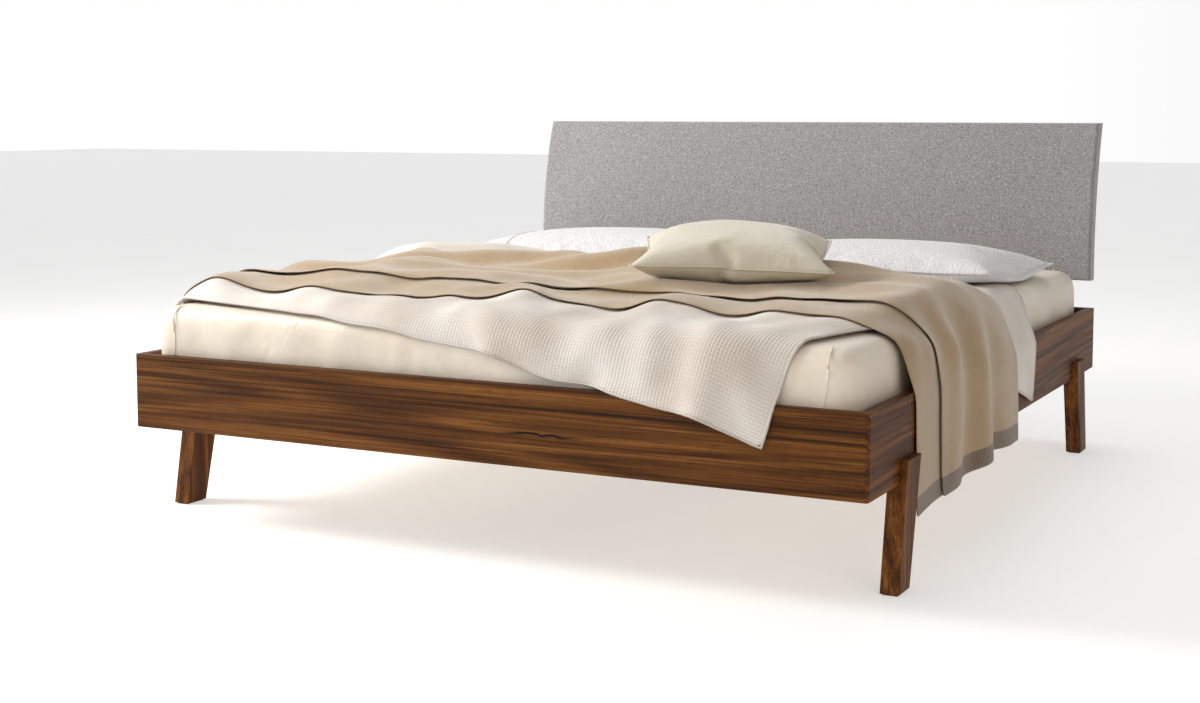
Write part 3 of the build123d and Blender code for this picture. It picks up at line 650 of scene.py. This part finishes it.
def waffle(name, pale, shade):
    """Waffle weave on flat cloth: rows of small raised diamonds, with threads in them, and painted
    shade in the hollows between them.
    """
    pitch = 0.0082
    s = Shader(name)
    u, v, _ = s.split(s.cloth())
    wander = s.noise(s.cloth(), 7.0, 2.0)
    turns = math.pi / pitch
    first = s.maths("MULTIPLY", s.maths("ADD", u, v), turns)
    second = s.maths("MULTIPLY", s.maths("SUBTRACT", u, v), turns)
    first = s.maths("ADD", first, wander)
    diamonds = s.maths("MULTIPLY", s.maths("SINE", first), s.maths("SINE", second))
    diamonds = s.maths("MULTIPLY_ADD", diamonds, 0.5, 0.5)
    ribs = s.maths("MULTIPLY_ADD", s.maths("SINE", s.maths("MULTIPLY", v, turns * 4.0)), 0.5, 0.5)
    threads = s.noise(s.cloth((1.0, 0.35, 1.0)), 900.0, 3.0, 0.6)
    height = s.maths("MULTIPLY_ADD", ribs, 0.14, s.maths("MULTIPLY", diamonds, 0.8))
    height = s.maths("MULTIPLY_ADD", threads, 0.16, height)
    cloud = s.noise(s.place(), 4.0, 3.0, 0.5)
    # Painted shade: the hollows between the raised diamonds are darkened towards a deeper copy of
    # the shade colour.
    hollow_shade = s.maths("MULTIPLY", s.spread(diamonds, 0.0, 0.65, 1.0, 0.0), 0.14)
    colour = s.ramp(cloud, (0.35, shade), (0.65, pale))
    colour = s.blend(hollow_shade, colour, tuple(c * 0.80 for c in shade))
    rough = s.spread(diamonds, 0.0, 1.0, 0.9, 0.74)
    return s.finish(colour, rough, height, 0.0015, Sheen_Weight=0.3, Sheen_Roughness=0.5)


def seersucker(name, pale, shade):
    """Crinkled white cotton: short puckers across the cloth, with painted shade in their hollows.
    """
    s = Shader(name)
    puckers_and_shade = s.noise(s.cloth((3.2, 1.0, 1.0)), 62.0, 3.0, 0.55, 0.5)
    weave = s.noise(s.cloth(), 1100.0, 2.0, 0.6)
    height = s.maths("MULTIPLY_ADD", weave, 0.05, puckers_and_shade)
    # Painted shade: the colour darkens where the puckers of the relief sink.
    colour = s.ramp(puckers_and_shade, (0.3, shade), (0.62, pale))
    rough = s.spread(puckers_and_shade, 0.3, 0.7, 0.86, 0.72)
    return s.finish(colour, rough, height, 0.0026, Sheen_Weight=0.25, Sheen_Roughness=0.5)


def wool(name, light, dark, ribbed=False):
    """Felted wool throw; a hem has ribs along its length, with painted shade in the grooves between
    them.
    """
    s = Shader(name)
    where = s.cloth()
    fuzz = s.noise(where, 520.0, 5.0, 0.75, 1.0)
    nap = s.noise(s.cloth((1.0, 0.4, 1.0)), 60.0, 4.0, 0.6)
    tone = s.maths("MULTIPLY_ADD", fuzz, 0.82, s.maths("MULTIPLY", nap, 0.18))
    colour = s.ramp(tone, (0.32, dark), (0.66, light))
    height = fuzz
    if ribbed:
        across = s.split(where)[1]
        ribs = s.maths("SINE", s.maths("MULTIPLY", across, 1400.0))
        ribs = s.maths("MULTIPLY_ADD", ribs, 0.5, 0.5)
        height = s.maths("MULTIPLY_ADD", ribs, 1.2, fuzz)
        # Painted shade: the grooves between the ribs are darkened towards the dark colour.
        colour = s.blend(s.maths("MULTIPLY_ADD", ribs, -0.5, 0.5), colour, dark)
    rough = s.spread(fuzz, 0.3, 0.7, 0.86, 0.97)
    return s.finish(colour, rough, height, 0.0009, Sheen_Weight=0.6, Sheen_Roughness=0.45)


def give(names, material):
    """Give CAD nodes a material in place of their plain one."""
    for name in names:
        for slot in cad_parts[name].material_slots:
            slot.link = "OBJECT"
            slot.material = material


# Camera and light

def make_camera():
    """The camera at the angle of the product view."""
    camera = bpy.data.cameras.new("camera")
    camera.lens = CAMERA_LENS
    camera.sensor_width = 36.0
    camera.shift_y = CAMERA_SHIFT
    obj = link(bpy.data.objects.new("camera", camera))
    obj.location = CAMERA_PLACE
    obj.rotation_euler = (math.pi / 2 - CAMERA_PITCH, 0.0, CAMERA_YAW)
    bpy.context.scene.camera = obj


def area_light(name, place, target, size, power, colour=(1, 1, 1)):
    """A soft box that points at a target."""
    light = bpy.data.lights.new(name, "AREA")
    light.shape = "RECTANGLE"
    light.size, light.size_y = size
    light.energy = power
    light.color = colour
    obj = link(bpy.data.objects.new(name, light))
    obj.location = place
    aim = Vector(target) - Vector(place)
    obj.rotation_euler = aim.to_track_quat("-Z", "Y").to_euler()


def make_studio():
    """A pale floor, a white surround and three soft boxes."""
    scene = bpy.context.scene
    scene.view_settings.view_transform = "Standard"
    world = bpy.data.worlds.new("surround")
    world.use_nodes = True
    nodes = world.node_tree.nodes
    links = world.node_tree.links
    place = nodes.new("ShaderNodeTexCoord").outputs["Generated"]
    parts = nodes.new("ShaderNodeSeparateXYZ")
    links.new(place, parts.inputs[0])
    both = nodes.new("ShaderNodeMath")
    both.operation = "MULTIPLY"
    # Bright at the horizon and dimmer above it, and dimmer towards the right.
    for socket, (part, *limits) in zip(both.inputs, (
        ("Z", 0.16, 0.5, 1.02, 0.62),
        ("X", -0.25, 0.6, 1.0, 0.38),
    )):
        fade = nodes.new("ShaderNodeMapRange")
        for name, value in zip(("From Min", "From Max", "To Min", "To Max"), limits):
            fade.inputs[name].default_value = value
        links.new(parts.outputs[part], fade.inputs["Value"])
        links.new(fade.outputs["Result"], socket)
    links.new(both.outputs[0], nodes["Background"].inputs["Strength"])
    nodes["Background"].inputs["Color"].default_value = (1.0, 1.0, 1.0, 1.0)
    scene.world = world
    size = 30.0
    corners = [(-size, -size, 0), (size, -size, 0), (size, size, 0), (-size, size, 0)]
    floor = mesh_object("floor", corners, [(0, 1, 2, 3)])
    s = Shader("floor")
    fleck = s.noise(s.place(), 2.0, 2.0)
    colour = s.ramp(fleck, (0.3, (205, 205, 205)), (0.7, (209, 209, 209)))
    glow = {"Emission_Color": (1, 1, 1, 1), "Emission_Strength": 0.47}
    floor.data.materials.append(s.finish(colour, 0.9, **glow))
    area_light("key", (-3.5, -1.5, 2.4), (0.0, -0.1, 0.5), (1.5, 1.5), 195.0, (1.0, 0.975, 0.93))
    area_light("fill", (4.5, -4.0, 2.6), (0.2, 0.0, 0.4), (3.0, 2.6), 55.0, (1.0, 0.80, 0.58))
    area_light("top", (-0.6, 1.8, 4.2), (0.0, -0.2, 0.4), (3.0, 2.2), 45.0)


make_camera()
make_studio()

# The frame's own materials

WALNUT_X = walnut("walnut_across", 0, (0.3, 0.9, 0.4))
WALNUT_Y = walnut("walnut_along", 1, (1.7, 0.2, 0.8))
WALNUT_Z = walnut("walnut_upright", 2, (0.6, 2.1, 0.1))
STEEL = painted_steel("black_steel")
ZINC = zinc_steel("zinc_steel")
RUBBER = rubber("black_rubber")
BIRCH = light_wood("birch_ply", 0, (214, 184, 140), (176, 140, 96))
PINE_Y = light_wood("pine_along", 1, (222, 194, 150), (188, 150, 104))
HEAD_FELT = felt("headboard_felt", (88, 87, 89), (136, 135, 136), (182, 182, 183), 430.0)
BACK_CLOTH = felt("back_cloth", (32, 32, 34), (44, 44, 46), (62, 62, 64), 700.0, 0.0003, 0.1)
GLIDE_FELT = felt("glide_felt", (50, 42, 36), (72, 62, 54), (96, 86, 76), 900.0, 0.0004)
CORE_PLY = light_wood("core_ply", 0, (206, 176, 132), (166, 130, 88), (3, 1, 2))

SIDES = ("left", "right")
ENDS = ("foot", "head")

give(["head_rail"], WALNUT_X)
give(["foot_rail"], walnut("walnut_foot_rail", 0, (2.4, 0.5, 1.3), (0.08, 0.33, 0.300)))
give([f"side_rail_{side}" for side in SIDES], WALNUT_Y)
give([f"leg_{end}_{side}" for end in ENDS for side in SIDES], WALNUT_Z)
give([f"corner_bracket_{end}_{side}" for end in ENDS for side in SIDES], STEEL)
give([f"headboard_bracket_{side}" for side in SIDES], STEEL)
give(["centre_beam", "beam_hanger_foot", "beam_hanger_head", "centre_leg"], STEEL)
give(["leg_bolts", "corner_screws", "ledge_screws", "hanger_screws", "centre_leg_screws"], ZINC)
give(["centre_lock_nut", "headboard_bolts"], ZINC)
give(["centre_foot"] + [f"base_{side}_slat_holders" for side in SIDES], RUBBER)
give(["leg_glides"], GLIDE_FELT)
give([f"ledge_{side}" for side in SIDES], PINE_Y)
give([f"base_{side}_{part}_member" for side in SIDES for part in ("inner", "outer")], PINE_Y)
give([f"slat_row_{number:02d}" for number in range(1, 15)], BIRCH)
give(["headboard_core"], CORE_PLY)
give(["headboard_cover"], HEAD_FELT)
give(["headboard_back_cover"], BACK_CLOTH)


# Mattress

def make_mattress():
    """The mattress in its fitted sheet: rounded and crowned, with soft gathers and corner seams."""
    low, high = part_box("mattress")
    low, high = np.array(low), np.array(high)
    obj = box_mesh("mattress_sheet", low, high, MATTRESS_ROUND, MATTRESS_STEP)
    points = coordinates(obj)
    centre = (low + high) / 2
    half = (high - low) / 2
    across = (points - centre) / half
    up = np.clip((points[:, 2] - low[2]) / (high[2] - low[2]), 0, 1)
    crown = np.clip(1 - np.abs(across[:, :2]) ** 6, 0, 1).prod(axis=1)
    points[:, 2] -= MATTRESS_CROWN * (1 - crown) * up
    # The sides swell at half height and gather below the top edge.
    swell = MATTRESS_SWELL * np.sin(np.pi * up)
    normals = np.array([tuple(v.normal) for v in obj.data.vertices])
    side = np.clip(1 - np.abs(normals[:, 2]), 0, 1)
    faces_x = np.abs(normals[:, 0]) > np.abs(normals[:, 1])
    around = np.where(faces_x, points[:, 1], points[:, 0] + 5.0)
    apart = np.where(normals[:, 0] + normals[:, 1] > 0, 3.0, 0.0)
    flat = np.stack([around, around * 0, apart + up * 0.10], 1)
    gathers = fractal(flat, 9.0, 3, 0.3)
    narrow = fractal(flat, 26.0, 2, 4.1)
    fade = np.sin(np.pi * np.clip(up * 0.9, 0, 1)) ** 0.7 * side
    to_sides = half[:2] - np.abs(points[:, :2] - centre[:2])
    to_edge = to_sides.min(axis=1)
    to_corner = to_sides.max(axis=1)
    tight = np.clip(to_corner / 0.25, 0.25, 1)
    relief = MATTRESS_GATHERS * gathers + MATTRESS_CREASES * narrow
    out = swell * side + fade * tight * relief
    points[:, :2] += normals[:, :2] * out[:, None]
    # The top carries long shallow pulls.
    pulls = fractal(points * np.array([1.0, 1.0, 0.0]), 3.0, 3, 2.2) * MATTRESS_PULLS
    points[:, 2] += pulls * (up > 0.9) * np.clip(to_edge / 0.2, 0, 1)
    set_coordinates(obj, points)
    seams = corner_seams(low, high)
    obj.data.materials.append(SHEET)
    divide(obj)
    for piece in [obj] + seams:
        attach(piece, "mattress")
    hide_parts("mattress")


def corner_seams(low, high):
    """A raised seam up each corner of the fitted sheet, a few centimetres along from the corner."""
    seams = []
    count = 25
    for end, sy in (("foot", -1), ("head", 1)):
        for side, sx in (("left", -1), ("right", 1)):
            x = high[0] if sx > 0 else low[0]
            y = high[1] if sy > 0 else low[1]
            line = []
            for index in range(count):
                t = index / (count - 1)
                z = low[2] + 0.012 + (high[2] - low[2] - 0.014) * t
                lean = 0.006 * math.sin(t * 5 + sx)
                bulge = 0.0035 * math.sin(math.pi * t)
                over = max(0.0, t - 0.77) / 0.23
                inward = 0.040 * over ** 2.2
                along = x - sx * (SEAM_FROM_CORNER + lean)
                line.append(Vector((along, y + sy * (bulge - inward + 0.0005), z)))
            seams.append(tube(f"sheet_seam_{end}_{side}", line, SEAM_RADIUS, SHEET, 0.55))
    return seams


def tube(name, line, radius, material, flatten=1.0, sides=8, closed=False):
    """A round cord of cloth along a line of points; flatten squeezes its height."""
    points, faces, uvs = [], [], []
    count = len(line)
    length = 0.0
    for index, place in enumerate(line):
        before = line[index - 1] if index or closed else line[0]
        after = line[(index + 1) % count] if index + 1 < count or closed else line[-1]
        ahead = (Vector(after) - Vector(before)).normalized()
        side = ahead.cross(Vector((0, 0, 1)))
        if side.length < 0.1:
            side = ahead.cross(Vector((0, 1, 0)))
        side.normalize()
        up = side.cross(ahead)
        if index:
            length += (Vector(place) - Vector(line[index - 1])).length
        for k in range(sides):
            angle = 2 * math.pi * k / sides
            out = side * math.cos(angle) * radius + up * math.sin(angle) * radius * flatten
            points.append(Vector(place) + out)
            uvs.append((length, k * radius))
    rings = count if closed else count - 1
    for i in range(rings):
        for k in range(sides):
            a = i * sides + k
            b = i * sides + (k + 1) % sides
            c = ((i + 1) % count) * sides + (k + 1) % sides
            d = ((i + 1) % count) * sides + k
            faces.append((a, d, c, b))
    if not closed:
        faces.append(tuple(range(sides)))
        faces.append(tuple(range((count - 1) * sides, count * sides))[::-1])
    obj = mesh_object(name, points, faces, uvs)
    obj.data.materials.append(material)
    return obj


def divide(obj):
    """Subdivide a mesh smoothly, once and for good."""
    modifier = obj.modifiers.new("smooth", "SUBSURF")
    modifier.levels = 1
    modifier.render_levels = 1
    apply_modifiers(obj)


# Cloth pieces

def smoothstep(low, high, value):
    """0 below low, 1 above high and smooth between them."""
    t = np.clip((value - low) / (high - low), 0, 1)
    return t * t * (3 - 2 * t)


def normals_of_grid(grid):
    """Unit normals of a grid of points, averaged with their neighbours."""
    du = np.gradient(grid, axis=0)
    dv = np.gradient(grid, axis=1)
    normal = np.cross(du, dv)
    normal /= np.maximum(np.linalg.norm(normal, axis=2, keepdims=True), 1e-12)
    if normal[:, :, 2].mean() < 0:
        normal = -normal
    return soften(normal, 2)


def soften(grid, times):
    """Average a grid of values with its neighbours."""
    for _ in range(times):
        wide = np.pad(grid, ((1, 1), (1, 1), (0, 0)), mode="edge")
        around = wide[:-2, 1:-1] + wide[2:, 1:-1] + wide[1:-1, :-2] + wide[1:-1, 2:]
        grid = around / 8 + grid / 2
    return grid


def unit_grid(rows, columns, start):
    """Each grid point's place along the rows and across them, from start to 1."""
    along = np.linspace(start, 1, rows)
    across = np.linspace(start, 1, columns)
    s, t = np.meshgrid(along, across, indexing="ij")
    return s.ravel(), t.ravel()


def rim_of(rows, columns):
    """The indices of a grid's points along its outline, in order."""
    rim = [i * columns for i in range(rows)]
    rim += [(rows - 1) * columns + j for j in range(1, columns)]
    rim += [i * columns + columns - 1 for i in range(rows - 2, -1, -1)]
    return rim + list(range(columns - 2, 0, -1))


def slanted(flat, along, across):
    """Places on a flat cloth, skewed so that noise on them makes slanting folds."""
    x = flat[:, 0] * along + flat[:, 1] * 0.6
    y = flat[:, 1] * across - flat[:, 0] * 0.3
    return np.column_stack([x, y, flat[:, 2]])


def duvet_sheet(top):
    """The duvet before it falls, and its flat places: rows run along it, columns foot to head."""
    rows = round(DUVET_FLAT[0] / DUVET_STEP) + 1
    columns = round(DUVET_FLAT[1] / DUVET_STEP) + 1
    s, t = unit_grid(rows, columns, 0)
    plan = (
        np.outer((1 - s) * (1 - t), DUVET_FOOT_LEFT)
        + np.outer(s * (1 - t), DUVET_FOOT_RIGHT)
        + np.outer((1 - s) * t, DUVET_HEAD_LEFT)
        + np.outer(s * t, DUVET_HEAD_RIGHT)
    )
    flat = np.stack([s * DUVET_FLAT[0], t * DUVET_FLAT[1], s * 0], 1)
    # Broad folds run from the foot corner towards the head.
    bumps = fractal(slanted(flat, 1.5, 0.75), 3.0, 2, 7.7)
    place = np.column_stack([plan, top + DUVET_DROP + DUVET_FOLDS * bumps])
    return place.reshape(rows, columns, 3), flat


def make_duvet(top):
    """The duvet: its upper side is draped over its filling, and its lower side lies below that."""
    place, flat = duvet_sheet(top)
    rows, columns = place.shape[:2]
    edge = np.minimum(flat[:, :2], DUVET_FLAT - flat[:, :2]).min(axis=1)
    puff = fractal(slanted(flat, 1.4, 0.8), 3.6, 3, 1.3) * 1.5 + 1.0
    puff += 0.8 * smoothstep(0.85, 1.0, flat[:, 1])
    from_edge = smoothstep(-0.01, 0.10, edge)
    under_pillows = 1 - 0.8 * smoothstep(1.15, 1.30, flat[:, 1])
    loft = DUVET_EDGE_LOFT + DUVET_LOFT * np.clip(puff, 0.2, 2.4) * from_edge * under_pillows
    grid = soften(drape(place, DUVET_STEP, loft + 0.004), 1)
    upper = grid.reshape(-1, 3).copy()
    normals = normals_of_grid(grid).reshape(-1, 3)
    lower = upper - normals * loft[:, None]
    push_out(lower, np.full(len(lower), 0.002), solids())
    push_out(upper, loft * 0.5 + 0.003, solids())
    block = mesh_object("block_duvet", upper, grid_faces(rows, columns))
    blocks.append(add_collision(block, 0.003))
    return closed_sheet("duvet_cover", rows, columns, lower, upper, flat[:, :2])


def closed_sheet(name, rows, columns, lower, upper, uvs):
    """A closed form from two grids that share their outline's layout."""
    count = rows * columns
    faces = grid_faces(rows, columns, count) + grid_faces(rows, columns, 0, True)
    rim = rim_of(rows, columns)
    for a, b in zip(rim, rim[1:] + rim[:1]):
        faces.append((a, b, b + count, a + count))
    obj = mesh_object(name, np.vstack([lower, upper]), faces, np.vstack([uvs, uvs]))
    obj["rim"] = rim
    return obj


def rim_line(obj):
    """The places along a closed sheet's rim, midway between its lower and upper edges."""
    points = coordinates(obj)
    count = len(points) // 2
    return [Vector(points[i] * 0.5 + points[i + count] * 0.5) for i in obj["rim"]]


def inflate(name, box, flat, turn, pressure, step, stiff=20, bend=0.6):
    """A pillow: two sheets joined round the edge, blown up and laid down in its CAD node's box."""
    low, high = box
    centre = (low + high) / 2
    rows = round(flat[0] / step) + 1
    columns = round(flat[1] / step) + 1
    s, t = unit_grid(rows, columns, -1)
    dome = (1 - s ** 4) * (1 - t ** 4)
    x = s * flat[0] / 2 * INFLATE_SHARE
    y = t * flat[1] / 2 * INFLATE_SHARE
    rise = INFLATE_RISE * dome
    uvs = np.column_stack([s * flat[0] / 2, t * flat[1] / 2])
    c, n = math.cos(turn), math.sin(turn)
    plan = np.column_stack([centre[0] + c * x - n * y, centre[1] + n * x + c * y])
    middle = low.z + INFLATE_CLEARANCE + INFLATE_MIDDLE
    lower = np.column_stack([plan, middle - rise])
    upper = np.column_stack([plan, middle + rise])
    inside = (np.abs(s) < 1 - 1e-9) & (np.abs(t) < 1 - 1e-9)
    count = rows * columns
    order = np.full(count, -1)
    order[inside] = count + np.arange(inside.sum())
    order[~inside] = np.nonzero(~inside)[0]
    points = np.vstack([lower, upper[inside]])
    points[:count][~inside] = (lower[~inside] + upper[~inside]) / 2
    faces = grid_faces(rows, columns, 0, True)
    faces += [tuple(int(order[i]) for i in f) for f in grid_faces(rows, columns)]
    obj = mesh_object(name, points, faces, np.vstack([uvs, uvs[inside]]))
    simulate(obj, INFLATE_FRAMES, pressure, stiff, bend)
    obj["rows"] = rows
    obj["columns"] = columns
    closing = round((rows - 1) * 0.14) * columns
    obj["placket"] = [int(order[closing + j]) for j in range(1, columns - 1)]
    return obj


def outline(obj):
    """The places round a pillow's edge."""
    points = coordinates(obj)
    return [Vector(points[i]) for i in rim_of(obj["rows"], obj["columns"])]


def make_throw(top):
    """The throw: its lower layer is dropped over the bed, then its upper layer lies on that."""
    rows = round(THROW_LENGTH / THROW_STEP) + 1
    columns = round(THROW_LOWER / THROW_STEP) + 1
    length = np.linspace(0, THROW_LENGTH, rows)
    width = np.linspace(0, THROW_LOWER, columns)
    s, t = (part.ravel() for part in np.meshgrid(length, width, indexing="ij"))
    c, n = math.cos(THROW_TURN), math.sin(THROW_TURN)
    x = THROW_TIP[0] - (THROW_LENGTH - s) * c - t * n
    y = THROW_TIP[1] - (THROW_LENGTH - s) * n + t * c
    flat = np.column_stack([s, t, s * 0])
    bumps = fractal(flat, 3.1, 2, 11.0)
    start = np.column_stack([x, y, top + THROW_DROP + 0.006 * bumps]).reshape(rows, columns, 3)
    under = bpy.data.objects["block_duvet"].data
    corners = [vertex.co for vertex in under.vertices]
    surface = BVHTree.FromPolygons(corners, [polygon.vertices for polygon in under.polygons])
    lower = soften(drape(start, THROW_STEP, THROW_GAP, surface), 1)
    normals = normals_of_grid(lower)
    layers = [lower]
    across = [width]
    gap = THROW_LAYER_GAP
    out = lower[:, -1] - lower[:, -2]
    out /= np.linalg.norm(out, axis=1, keepdims=True)
    # The fold goes round in three steps from the lower layer to the upper one.
    for angle in (35, 90, 145):
        a = math.radians(angle)
        outward = out * math.sin(a) * gap * 0.7
        upward = normals[:, -1] * gap * (1 - math.cos(a)) / 2
        ring = lower[:, -1] + outward + upward
        layers.append(ring[:, None, :])
        across.append(np.array([THROW_LOWER + gap * a / 2]))
    kept = round(THROW_UPPER / THROW_STEP) + 1
    back = np.linspace(THROW_LOWER, THROW_LOWER - THROW_UPPER, kept)
    index = np.clip(back / THROW_STEP, 0, columns - 1)
    first = np.floor(index).astype(int)
    second = np.minimum(first + 1, columns - 1)
    share = (index - first)[None, :, None]
    upper = lower[:, first] * (1 - share) + lower[:, second] * share
    lift_normals = normals[:, first] * (1 - share) + normals[:, second] * share
    places = np.column_stack([np.repeat(length, kept), np.tile(back, rows), np.zeros(rows * kept)])
    wave = fractal(places, 5.0, 3, 21.0)
    lift = gap + 0.004 * np.clip(wave.reshape(rows, kept) + 0.4, 0, 2)
    upper = upper + lift_normals * lift[:, :, None]
    layers.append(upper)
    across.append(THROW_LOWER + gap * math.pi / 2 + (THROW_LOWER - back))
    block = mesh_object("block_throw", upper.reshape(-1, 3), grid_faces(rows, kept))
    blocks.append(add_collision(block, 0.003))
    grid = np.concatenate(layers, axis=1)
    total = grid.shape[1]
    uvs = np.column_stack([np.repeat(length, total), np.tile(np.concatenate(across), rows)])
    obj = mesh_object("throw_cloth", grid.reshape(-1, 3), grid_faces(rows, total), uvs)
    obj.data.materials.append(THROW_WOOL)
    obj.data.materials.append(THROW_RIB)
    for polygon in obj.data.polygons:
        along = uvs[list(polygon.vertices), 0].mean()
        if min(along, THROW_LENGTH - along) < THROW_HEM:
            polygon.material_index = 1
    thick = obj.modifiers.new("thick", "SOLIDIFY")
    thick.thickness = THROW_THICK
    thick.offset = 0.0
    thick.use_even_offset = False
    apply_modifiers(obj)
    divide(obj)
    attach(obj, "mattress")
    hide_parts("throw")


# The satin, waffle, crinkle and rib finishes paint shade into the hollows of their relief.
SHEET = satin("sheet_satin", (230, 221, 207), (218, 205, 185), 0.0009, 0.36)
DUVET_WEAVE = waffle("duvet_waffle", (222, 216, 210), (200, 189, 177))
PILLOW_CRINKLE = seersucker("pillow_crinkle", (220, 221, 225), (196, 194, 195))
CUSHION_SATIN = satin("cushion_satin", (214, 208, 192), (200, 192, 170), 0.0011, 0.34)
THROW_WOOL = wool("throw_wool", (180, 155, 118), (133, 107, 73))
THROW_RIB = wool("throw_rib", (116, 90, 60), (80, 58, 34), True)

blocks = []
low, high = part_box("mattress")
make_mattress()
blocks.append(add_collision(box_mesh("block_mattress", low, high, MATTRESS_ROUND, COLLISION_STEP)))

duvet = make_duvet(high.z)
duvet.data.materials.append(DUVET_WEAVE)
piping = tube("duvet_piping", rim_line(duvet), DUVET_PIPING, DUVET_WEAVE, closed=True)
divide(duvet)
for piece in (duvet, piping):
    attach(piece, "mattress")
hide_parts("duvet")

for side, turn in (("left", 0.03), ("right", -0.04)):
    pillow = inflate(
        f"pillow_{side}_case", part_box(f"pillow_{side}"), PILLOW_FLAT, turn, PILLOW_PRESSURE,
        PILLOW_STEP,
    )
    pillow.data.materials.append(PILLOW_CRINKLE)
    edge = tube(
        f"pillow_{side}_piping", outline(pillow), PILLOW_PIPING, PILLOW_CRINKLE,
        sides=6, closed=True,
    )
    points = coordinates(pillow)
    line = [Vector(points[i]) for i in pillow["placket"]]
    placket = tube(f"pillow_{side}_placket", line, PILLOW_PLACKET, PILLOW_CRINKLE, 0.8, 6)
    divide(pillow)
    for piece in (pillow, edge, placket):
        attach(piece, f"pillow_{side}")
    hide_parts(f"pillow_{side}")

make_throw(high.z)

cushion = inflate(
    "cushion_case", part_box("cushion"), CUSHION_FLAT, CUSHION_TURN, CUSHION_PRESSURE,
    CUSHION_STEP, stiff=40, bend=2.0,
)
cushion.data.materials.append(CUSHION_SATIN)
cushion_edge = tube(
    "cushion_piping", outline(cushion), CUSHION_PIPING, CUSHION_SATIN, sides=6, closed=True,
)
divide(cushion)
for piece in (cushion, cushion_edge):
    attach(piece, "cushion")
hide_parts("cushion")

for block in blocks:
    remove(block)
